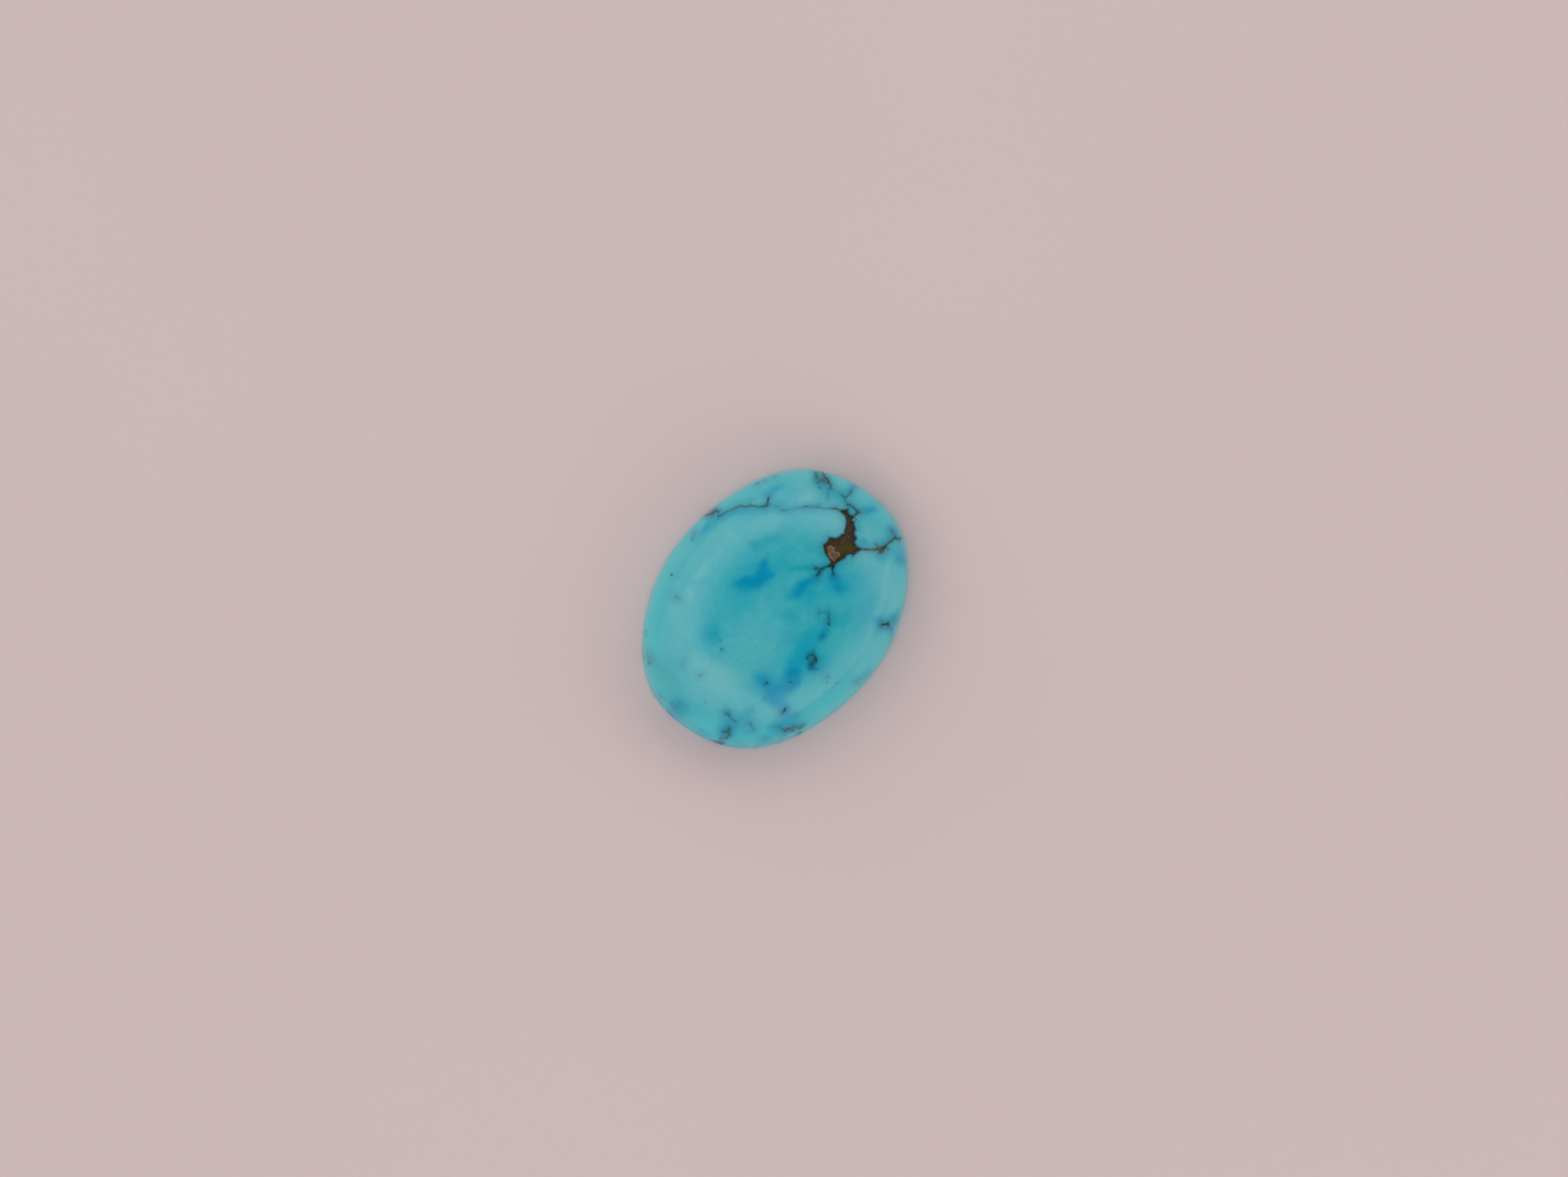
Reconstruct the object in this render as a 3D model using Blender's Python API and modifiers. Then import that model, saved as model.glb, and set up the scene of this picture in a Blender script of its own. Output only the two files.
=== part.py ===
"""Oval turquoise cabochon with a patch of brown matrix, modelled at its real size.

The stone rests on its flat ground back. +Z is up, X runs along its length, Y runs
across its width, and the origin is the middle of the back. Lengths are in metres.
"""
import math

import bmesh
import bpy

MM = 0.001

# Overall size of the cut stone
LENGTH = 17.9 * MM
WIDTH = 14.0 * MM
HEIGHT = 5.2 * MM

# Plan: an oval slightly fuller than an ellipse, with the faint lobes of hand grinding.
# A fullness of 2 is an ellipse, and the lobe depth is a share of the radius.
FULLNESS = 2.1
LOBES = 6
LOBE_DEPTH = 0.0067
LOBE_TURN = math.radians(228.6)

# Side: a rounded bevel on the back's edge, a leaning wall, and the dome that runs on from it.
# The sweep is how much of its quarter turn the dome makes before it meets the wall.
BEVEL = 0.25 * MM
WALL_TOP = 1.2 * MM
DOME_SWEEP = math.radians(84)

# The matrix is softer than the turquoise, so polishing wore it this far below the dome
MATRIX_DEPTH = 0.08 * MM

# Outline of the matrix patch in millimetres, seen from above, from its left tip round by the top
MATRIX_OUTLINE = (
    (4.12, -0.84), (4.38, -0.66), (4.46, -0.02), (4.72, 0.24), (5.34, 0.28), (5.58, -0.05),
    (6.15, -0.21), (6.62, -0.02), (6.94, 0.26), (7.01, 0.74), (7.10, 0.83), (7.27, 0.60),
    (7.20, 0.30), (7.26, 0.04), (7.06, -0.05), (6.80, -0.58), (6.50, -0.70), (6.33, -0.98),
    (6.12, -0.99), (5.98, -1.28), (6.05, -1.56), (5.53, -1.44), (5.44, -1.22), (4.86, -1.10),
    (4.30, -0.97),
)

# Outline of the pale crystal in the patch, which kept its height
CRYSTAL_OUTLINE = (
    (4.46, -0.80), (4.50, -0.42), (4.84, 0.07), (5.06, 0.02), (5.05, -0.24), (5.14, -0.34),
    (5.03, -0.48), (5.00, -0.80), (4.84, -0.87),
)

# Both outlines are drawn as a slightly tilted view shows them, which is this far from
# where they lie on the high part of the dome
OUTLINE_SHIFT_X = -0.45 * MM
OUTLINE_SHIFT_Y = -0.36 * MM

# Fineness of the facets
TURN_STEPS = 132
DOME_RINGS = 26
WALL_RINGS = 3
BEVEL_RINGS = 2
BACK_RINGS = 2

# Points and merges closer than this are the same point
SAME_POINT = 0.001 * MM


def clear_scene():
    """Empties the scene that Blender opens with."""
    for thing in list(bpy.data.objects):
        bpy.data.objects.remove(thing)


def new_collection(name):
    """Adds a collection to the scene."""
    collection = bpy.data.collections.new(name)
    bpy.context.scene.collection.children.link(collection)
    return collection


def place(name, data, collection):
    """Wraps mesh or curve data in an object and puts it in a collection."""
    thing = bpy.data.objects.new(name, data)
    collection.objects.link(thing)
    return thing


def turquoise():
    """Polished turquoise: an even sky blue to green stone with a waxy shine."""
    material = bpy.data.materials.new("polished_turquoise")
    material.use_nodes = True
    shader = material.node_tree.nodes["Principled BSDF"]
    shader.inputs["Base Color"].default_value = (0.05, 0.36, 0.42, 1.0)
    shader.inputs["Roughness"].default_value = 0.12
    shader.inputs["Metallic"].default_value = 0.0
    material.diffuse_color = (0.05, 0.36, 0.42, 1.0)
    return material


def side_profile():
    """Works out half the side view of a round stone of the mean radius, top to bottom.

    The dome is an arc of an ellipse. The wall carries on at the slope at which that
    arc ends, so the stone is widest just above its bevel.
    """
    reach = (LENGTH + WIDTH) / 4
    rise = (HEIGHT - WALL_TOP) / (1 - math.cos(DOME_SWEEP))
    centre = HEIGHT - rise
    drop = WALL_TOP - BEVEL
    spread = reach / (math.sin(DOME_SWEEP) + drop / (rise * math.tan(DOME_SWEEP)))
    points = []
    for ring in range(DOME_RINGS + 1):
        turn = DOME_SWEEP * ring / DOME_RINGS
        points.append((spread * math.sin(turn), centre + rise * math.cos(turn)))
    shoulder = points[-1][0]
    for ring in range(1, WALL_RINGS + 1):
        share = ring / WALL_RINGS
        points.append((shoulder + (reach - shoulder) * share, WALL_TOP + (BEVEL - WALL_TOP) * share))
    for ring in range(1, BEVEL_RINGS + 1):
        turn = math.radians(90) * ring / BEVEL_RINGS
        points.append((reach - BEVEL * (1 - math.cos(turn)), BEVEL * (1 - math.sin(turn))))
    back = reach - BEVEL
    for ring in range(1, BACK_RINGS + 1):
        points.append((back * (1 - ring / BACK_RINGS), 0.0))
    return points


def turned_mesh(points, collection):
    """Turns a side profile about Z with a Screw modifier and returns the closed mesh."""
    data = bpy.data.meshes.new("profile")
    edges = [(index, index + 1) for index in range(len(points) - 1)]
    data.from_pydata([(reach, 0.0, height) for reach, height in points], edges, [])
    profile = place("profile", data, collection)
    screw = profile.modifiers.new("turn", "SCREW")
    screw.axis = "Z"
    screw.steps = TURN_STEPS
    screw.render_steps = TURN_STEPS
    screw.use_merge_vertices = True
    screw.merge_threshold = SAME_POINT
    bpy.context.view_layer.update()
    turned = profile.evaluated_get(bpy.context.evaluated_depsgraph_get())
    mesh = bpy.data.meshes.new_from_object(turned)
    bpy.data.objects.remove(profile)
    return mesh


def plan_factor(angle, share):
    """Gives how far the oval plan stands out from a plain ellipse.

    The difference fades towards the middle of the stone, where share is 0, so the top
    of the dome stays smooth.
    """
    across = abs(math.cos(angle)) ** FULLNESS + abs(math.sin(angle)) ** FULLNESS
    oval = across ** (-1 / FULLNESS)
    lobed = 1 + LOBE_DEPTH * math.cos(LOBES * angle - LOBE_TURN)
    return 1 + (oval * lobed - 1) * share ** 2


def press_to_plan(mesh):
    """Moves a round turned mesh out to the oval plan, at the stone's length and width."""
    reach = (LENGTH + WIDTH) / 4
    for vertex in mesh.vertices:
        angle = math.atan2(vertex.co.y, vertex.co.x)
        factor = plan_factor(angle, math.hypot(vertex.co.x, vertex.co.y) / reach)
        vertex.co.x *= factor
        vertex.co.y *= factor
    for axis, size in ((0, LENGTH), (1, WIDTH)):
        places = [vertex.co[axis] for vertex in mesh.vertices]
        middle = (max(places) + min(places)) / 2
        scale = size / (max(places) - min(places))
        for vertex in mesh.vertices:
            vertex.co[axis] = (vertex.co[axis] - middle) * scale


def prism(name, outline, collection):
    """Makes an upright prism, taller than the stone, from an outline in millimetres."""
    flat = bpy.data.curves.new(name, "CURVE")
    flat.dimensions = "2D"
    flat.fill_mode = "BOTH"
    flat.extrude = HEIGHT
    spline = flat.splines.new("POLY")
    spline.points.add(len(outline) - 1)
    for point, (across, along) in zip(spline.points, outline):
        point.co = (across * MM, along * MM, 0.0, 1.0)
    spline.use_cyclic_u = True
    drawn = place(name + "_outline", flat, collection)
    bpy.context.view_layer.update()
    evaluated = drawn.evaluated_get(bpy.context.evaluated_depsgraph_get())
    mesh = bpy.data.meshes.new_from_object(evaluated)
    bpy.data.objects.remove(drawn)
    weld(mesh)
    solid = place(name, mesh, collection)
    solid.location = (OUTLINE_SHIFT_X, OUTLINE_SHIFT_Y, HEIGHT)
    return as_cutter(solid)


def weld(mesh):
    """Joins a curve's loose caps to its sides and turns every face outwards."""
    work = bmesh.new()
    work.from_mesh(mesh)
    bmesh.ops.remove_doubles(work, verts=work.verts, dist=SAME_POINT)
    bmesh.ops.recalc_face_normals(work, faces=work.faces)
    work.to_mesh(mesh)
    work.free()


def as_cutter(thing):
    """Marks an object as a cutter, which isn't part of the stone."""
    thing.hide_render = True
    thing.display_type = "WIRE"
    return thing


def cut(target, cutter):
    """Takes one solid away from another."""
    boolean = target.modifiers.new("cut_" + cutter.name, "BOOLEAN")
    boolean.operation = "DIFFERENCE"
    boolean.solver = "EXACT"
    boolean.object = cutter


def matrix_cutter(stone, collection):
    """Makes the solid that polishing wore away over the matrix patch.

    It is the patch's prism without the crystal and without all that lies under a copy
    of the stone lowered by the depth of the wear.
    """
    worn = prism("matrix_wear", MATRIX_OUTLINE, collection)
    crystal = prism("crystal", CRYSTAL_OUTLINE, collection)
    floor = as_cutter(place("matrix_floor", stone.data, collection))
    floor.location.z = -MATRIX_DEPTH
    cut(worn, crystal)
    cut(worn, floor)
    return worn


def build():
    """Models the cabochon."""
    clear_scene()
    parts = new_collection("turquoise_cabochon")
    cutters = new_collection("cutters")
    mesh = turned_mesh(side_profile(), cutters)
    press_to_plan(mesh)
    mesh.name = "cabochon"
    mesh.shade_smooth()
    mesh.set_sharp_from_angle(angle=math.radians(40))
    mesh.materials.append(turquoise())
    stone = place("cabochon", mesh, parts)
    cut(stone, matrix_cutter(stone, cutters))


build()
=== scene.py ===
"""Dresses an oval turquoise cabochon that lies on its ground back, dome up.

The stone is one piece of turquoise with brown matrix. Lengths in the classes are in
millimetres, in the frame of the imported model: X along the stone, Y across it, +Z out of
the dome, and the origin in the middle of the back. Blender gets its meshes in metres.
"""
import logging
import math
from dataclasses import dataclass
from enum import Enum
from functools import cached_property

import bmesh
import bpy
import numpy as np
from mathutils import Matrix, Vector, noise


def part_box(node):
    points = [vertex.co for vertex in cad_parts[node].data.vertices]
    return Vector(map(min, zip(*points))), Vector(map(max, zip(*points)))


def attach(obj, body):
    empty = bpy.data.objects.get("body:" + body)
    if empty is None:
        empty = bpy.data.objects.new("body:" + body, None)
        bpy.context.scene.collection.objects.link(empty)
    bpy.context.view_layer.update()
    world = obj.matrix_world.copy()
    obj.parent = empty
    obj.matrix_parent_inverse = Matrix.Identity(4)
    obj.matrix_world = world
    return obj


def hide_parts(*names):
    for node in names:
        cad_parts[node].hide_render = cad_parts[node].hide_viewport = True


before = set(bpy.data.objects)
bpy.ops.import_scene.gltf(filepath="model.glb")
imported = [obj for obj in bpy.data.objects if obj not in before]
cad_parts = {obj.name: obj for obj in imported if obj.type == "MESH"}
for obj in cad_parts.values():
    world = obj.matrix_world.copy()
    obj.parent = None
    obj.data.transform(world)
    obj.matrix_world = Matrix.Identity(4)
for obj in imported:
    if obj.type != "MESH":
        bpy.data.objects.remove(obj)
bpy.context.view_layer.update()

LOG = logging.getLogger("cabochon")
MM = 0.001
# Height of a triangle with three equal sides, as a share of its side
EVEN_ROW = math.sqrt(0.75)
NODE = "cabochon"
PIECE = "polished_stone"


def linear(hex_colour: str) -> tuple[float, float, float, float]:
    """Turns an sRGB hex colour into linear RGBA.

    Args:
        hex_colour: six hex digits, such as "3CA0AF".

    Returns:
        Linear red, green and blue, and an alpha of 1.
    """
    shares = [int(hex_colour[place:place + 2], 16) / 255 for place in (0, 2, 4)]
    straight = [s / 12.92 if s <= 0.04045 else ((s + 0.055) / 1.055) ** 2.4 for s in shares]
    return (*straight, 1.0)


def find_socket(sockets: bpy.types.bpy_prop_collection, key: str | int) -> bpy.types.NodeSocket:
    """Finds a socket of a node.

    Args:
        sockets: the node's inputs or outputs.
        key: the socket's number, identifier or name.

    Returns:
        The socket.
    """
    if isinstance(key, int):
        return sockets[key]
    named = [socket for socket in sockets if socket.identifier == key]
    return named[0] if named else sockets[key]


def bare_tree(owner: bpy.types.Material | bpy.types.World) -> bpy.types.NodeTree:
    """Switches on the nodes of a material or world, and removes the ones it starts with.

    Args:
        owner: the material or world.

    Returns:
        Its empty node tree.
    """
    owner.use_nodes = True
    owner.node_tree.nodes.clear()
    return owner.node_tree


def add_node(tree: bpy.types.NodeTree, kind: str, inputs: dict | None = None,
             output: str | int = 0, **settings: object) -> bpy.types.NodeSocket | None:
    """Adds a node, sets its properties and fills its inputs.

    Args:
        tree: the node tree to add to.
        kind: the node's type.
        inputs: what goes into each input, a value or a socket, by the input's key.
        output: the key of the output to return.
        **settings: properties of the node.

    Returns:
        The chosen output socket, or None for a node without outputs.
    """
    node = tree.nodes.new(kind)
    for name, value in settings.items():
        setattr(node, name, value)
    for key, value in (inputs or {}).items():
        socket = find_socket(node.inputs, key)
        if isinstance(value, bpy.types.NodeSocket):
            tree.links.new(value, socket)
        else:
            socket.default_value = value
    return find_socket(node.outputs, output) if len(node.outputs) else None


class Filling(Enum):
    """What fills a crack in the turquoise."""

    IRON = "iron"
    LIMONITE = "limonite"
    STAIN = "stain"


class Tint(Enum):
    """How a soft patch changes the turquoise."""

    PALE = "pale"
    TEAL = "teal"
    BLUE = "blue"
    DEEP_BLUE = "deep_blue"
    VIOLET = "violet_blue"
    STAINED = "iron_stained"
    NAVY = "navy"
    OCHRE = "ochre"


class Grain(Enum):
    """What lies inside a sharp outline in the turquoise."""

    MATRIX = "matrix"
    CRYSTAL = "crystal"
    OLIVE = "olive"
    CHIP = "chip"


@dataclass(frozen=True)
class Vein:
    """A healed crack, drawn as a line across the stone.

    Attributes:
        filling: what it is filled with.
        strength: how clearly it shows, from 0 to 1.
        route: points along it, each x, y and half width in millimetres.
    """

    filling: Filling
    strength: float
    route: tuple[tuple[float, float, float], ...]


@dataclass(frozen=True)
class Patch:
    """A soft oval patch of another tint.

    Attributes:
        centre: its middle in millimetres.
        radii: the half length and half width at which two thirds of it have faded.
        turn: the direction of its length, in degrees from +X.
        strength: how much of the tint its middle has, from 0 to 1.
    """

    centre: tuple[float, float]
    radii: tuple[float, float]
    turn: float
    strength: float


@dataclass(frozen=True)
class Speck:
    """A dark mineral grain or pinhole.

    Attributes:
        centre: its middle in millimetres.
        radius: its radius in millimetres.
        strength: how clearly it shows, from 0 to 1.
    """

    centre: tuple[float, float]
    radius: float
    strength: float


# The crack that runs from the upper edge to the matrix patch
UPPER_VEINS = (
    Vein(Filling.IRON, 0.9, ((1.62, 6.88, 0.03), (1.83, 6.73, 0.05), (1.96, 6.64, 0.06),
                             (2.12, 6.64, 0.05), (2.23, 6.57, 0.05), (2.27, 6.46, 0.03))),
    Vein(Filling.STAIN, 0.6, ((2.25, 6.46, 0.04), (2.16, 6.34, 0.03), (2.12, 6.22, 0.04))),
    Vein(Filling.IRON, 0.6, ((2.08, 6.23, 0.04), (2.20, 6.14, 0.04), (2.34, 6.10, 0.03),
                              (2.57, 6.03, 0.02), (2.75, 5.96, 0.02), (2.90, 5.84, 0.025),
                              (3.09, 5.77, 0.02), (3.25, 5.715, 0.03), (3.38, 5.62, 0.03),
                              (3.47, 5.51, 0.03), (3.55, 5.38, 0.03), (3.64, 5.27, 0.03))),
    Vein(Filling.LIMONITE, 0.4, ((3.15, 5.76, 0.03), (3.38, 5.62, 0.05), (3.49, 5.49, 0.05),
                                 (3.60, 5.32, 0.04), (3.68, 5.26, 0.06), (3.82, 5.19, 0.06),
                                 (3.92, 4.99, 0.03), (4.04, 4.78, 0.03), (4.16, 4.64, 0.03))),
    Vein(Filling.IRON, 0.5, ((3.66, 5.27, 0.02), (3.82, 5.18, 0.03), (3.88, 5.28, 0.02))),
    Vein(Filling.IRON, 0.6, ((3.84, 5.12, 0.02), (3.92, 4.99, 0.02), (3.99, 4.83, 0.025),
                             (4.16, 4.64, 0.03), (4.31, 4.49, 0.05), (4.46, 4.44, 0.055))),
    Vein(Filling.IRON, 0.85, ((4.28, 4.51, 0.04), (4.46, 4.44, 0.05), (4.60, 4.49, 0.04),
                              (4.75, 4.60, 0.03), (4.90, 4.66, 0.03))),
    Vein(Filling.STAIN, 0.5, ((4.52, 4.40, 0.05), (4.62, 4.25, 0.05), (4.72, 4.00, 0.05),
                              (4.78, 3.70, 0.04), (4.83, 3.50, 0.04), (4.95, 3.35, 0.03),
                              (5.13, 3.21, 0.03), (5.42, 2.96, 0.04), (5.68, 2.77, 0.04))),
    Vein(Filling.IRON, 0.35, ((4.79, 3.60, 0.02), (4.83, 3.50, 0.03), (4.88, 3.41, 0.02))),
    Vein(Filling.STAIN, 0.5, ((5.62, 2.82, 0.03), (5.79, 2.66, 0.05), (5.94, 2.55, 0.06),
                              (6.09, 2.36, 0.04), (6.16, 2.25, 0.04), (6.33, 2.03, 0.06),
                              (6.42, 1.86, 0.04), (6.57, 1.62, 0.04), (6.76, 1.41, 0.04),
                              (6.90, 1.25, 0.03))),
    Vein(Filling.IRON, 0.3, ((5.70, 2.76, 0.015), (5.94, 2.55, 0.03), (6.16, 2.25, 0.02),
                             (6.33, 2.03, 0.03), (6.57, 1.62, 0.02), (6.90, 1.25, 0.02))),
    Vein(Filling.STAIN, 0.45, ((6.26, 2.05, 0.03), (6.40, 2.02, 0.04), (6.50, 2.06, 0.02))),
    Vein(Filling.LIMONITE, 0.9, ((6.88, 1.27, 0.03), (7.00, 1.10, 0.05), (7.02, 1.00, 0.04),
                                 (7.05, 0.88, 0.05), (7.10, 0.75, 0.08))),
)

# The knot of cracks at the upper right edge, and the ring of cracks round a pale cell
RIGHT_VEINS = (
    Vein(Filling.IRON, 0.7, ((7.95, 3.57, 0.05), (7.86, 3.42, 0.05), (7.72, 3.29, 0.04),
                             (7.65, 3.22, 0.02))),
    Vein(Filling.IRON, 0.85, ((8.22, 3.20, 0.05), (8.11, 3.03, 0.05), (8.03, 2.92, 0.04),
                              (8.07, 2.73, 0.05), (8.00, 2.55, 0.04), (7.90, 2.33, 0.04))),
    Vein(Filling.IRON, 0.7, ((7.85, 2.92, 0.03), (7.81, 2.70, 0.03), (7.88, 2.50, 0.03),
                             (7.92, 2.35, 0.03))),
    Vein(Filling.LIMONITE, 0.5, ((7.94, 2.85, 0.04), (7.92, 2.62, 0.08), (7.94, 2.42, 0.05))),
    Vein(Filling.IRON, 0.5, ((7.47, 3.00, 0.04), (7.64, 2.97, 0.03), (7.85, 2.90, 0.03))),
    Vein(Filling.IRON, 0.9, ((7.94, 2.40, 0.04), (7.86, 2.30, 0.05), (7.74, 2.20, 0.05))),
    Vein(Filling.STAIN, 0.55, ((7.72, 2.24, 0.03), (7.51, 2.23, 0.04), (7.39, 2.12, 0.04),
                               (7.24, 2.00, 0.05), (7.13, 1.90, 0.05))),
    Vein(Filling.STAIN, 0.5, ((7.76, 2.20, 0.04), (7.75, 1.97, 0.04), (7.83, 1.60, 0.03),
                              (7.86, 1.40, 0.04))),
    Vein(Filling.IRON, 0.7, ((7.85, 1.34, 0.04), (7.87, 1.18, 0.07), (8.01, 1.12, 0.03),
                             (8.22, 1.10, 0.03), (8.42, 1.14, 0.02))),
    Vein(Filling.STAIN, 0.6, ((8.30, 1.12, 0.04), (8.60, 1.17, 0.05), (8.95, 1.20, 0.06))),
    Vein(Filling.IRON, 0.6, ((7.87, 1.16, 0.04), (7.75, 1.08, 0.03), (7.70, 0.93, 0.03),
                             (7.68, 0.78, 0.03))),
    Vein(Filling.LIMONITE, 0.95, ((7.60, 0.77, 0.05), (7.67, 0.72, 0.06), (7.72, 0.63, 0.03))),
    Vein(Filling.IRON, 0.85, ((7.72, 0.62, 0.03), (7.73, 0.30, 0.03), (7.70, 0.08, 0.03))),
    Vein(Filling.LIMONITE, 0.95, ((7.52, 0.00, 0.04), (7.62, 0.00, 0.06), (7.71, -0.03, 0.08))),
    Vein(Filling.IRON, 0.9, ((7.24, 0.03, 0.04), (7.40, 0.04, 0.03), (7.54, 0.00, 0.04))),
    Vein(Filling.IRON, 0.85, ((7.26, 0.60, 0.05), (7.38, 0.57, 0.04), (7.47, 0.62, 0.04))),
    Vein(Filling.IRON, 0.6, ((7.02, -0.20, 0.03), (7.12, -0.24, 0.02), (7.25, -0.20, 0.02),
                             (7.42, -0.02, 0.02))),
)

# The cracks that leave the matrix patch to the left, and the one to the lower right edge
LOWER_VEINS = (
    Vein(Filling.IRON, 1.0, ((4.24, -0.85, 0.10), (4.085, -0.80, 0.08), (3.97, -0.715, 0.05),
                             (3.83, -0.64, 0.04), (3.68, -0.59, 0.035), (3.55, -0.51, 0.06),
                             (3.47, -0.49, 0.06), (3.38, -0.60, 0.045), (3.27, -0.60, 0.05),
                             (3.18, -0.59, 0.05), (3.10, -0.585, 0.03))),
    Vein(Filling.IRON, 0.9, ((3.48, -0.47, 0.05), (3.49, -0.36, 0.04), (3.42, -0.26, 0.045))),
    Vein(Filling.STAIN, 0.6, ((3.42, -0.28, 0.05), (3.30, -0.22, 0.04))),
    Vein(Filling.STAIN, 0.6, ((3.47, -0.30, 0.04), (3.49, -0.14, 0.03))),
    Vein(Filling.IRON, 1.0, ((4.25, -0.93, 0.08), (4.14, -1.00, 0.085), (4.03, -1.06, 0.06),
                             (3.94, -1.14, 0.035), (3.86, -1.23, 0.025), (3.80, -1.32, 0.015))),
    Vein(Filling.STAIN, 0.6, ((3.84, -1.28, 0.04), (3.76, -1.38, 0.04))),
    Vein(Filling.STAIN, 0.8, ((5.30, -1.50, 0.03), (5.45, -1.50, 0.05), (5.60, -1.46, 0.05))),
    Vein(Filling.LIMONITE, 0.95, ((5.98, -1.45, 0.09), (6.13, -1.68, 0.045), (6.29, -1.88, 0.04),
                                  (6.46, -2.085, 0.04), (6.64, -2.25, 0.04), (6.78, -2.36, 0.07),
                                  (6.81, -2.55, 0.13), (6.90, -2.63, 0.09), (7.02, -2.62, 0.06))),
    Vein(Filling.LIMONITE, 0.7, ((6.84, -2.32, 0.05), (6.86, -2.18, 0.05), (6.88, -2.05, 0.03))),
    Vein(Filling.LIMONITE, 0.8, ((6.62, -2.60, 0.04), (6.76, -2.68, 0.06))),
    Vein(Filling.IRON, 0.95, ((6.98, -2.50, 0.05), (7.08, -2.58, 0.06), (7.18, -2.61, 0.07),
                              (7.29, -2.61, 0.05))),
    Vein(Filling.LIMONITE, 0.6, ((7.18, -2.66, 0.06), (7.17, -2.82, 0.05))),
    Vein(Filling.LIMONITE, 0.85, ((7.28, -2.61, 0.04), (7.46, -2.61, 0.035), (7.61, -2.66, 0.045),
                                  (7.83, -2.69, 0.04), (8.00, -2.71, 0.05))),
    Vein(Filling.IRON, 0.7, ((7.50, -2.62, 0.015), (7.64, -2.67, 0.03), (7.83, -2.69, 0.02),
                             (7.99, -2.73, 0.03))),
    Vein(Filling.IRON, 0.9, ((8.01, -2.74, 0.04), (8.02, -2.86, 0.05), (8.09, -2.97, 0.07),
                             (8.17, -3.02, 0.05))),
    Vein(Filling.LIMONITE, 0.7, ((8.12, -3.00, 0.06), (8.24, -3.07, 0.04), (8.36, -3.12, 0.04))),
    Vein(Filling.STAIN, 0.95, ((8.03, -2.68, 0.05), (8.09, -2.58, 0.07), (8.15, -2.45, 0.06),
                               (8.19, -2.25, 0.05))),
    Vein(Filling.STAIN, 0.5, ((7.17, -3.78, 0.03), (7.11, -3.93, 0.03), (7.16, -4.04, 0.03),
                              (7.22, -4.13, 0.04))),
)

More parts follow.
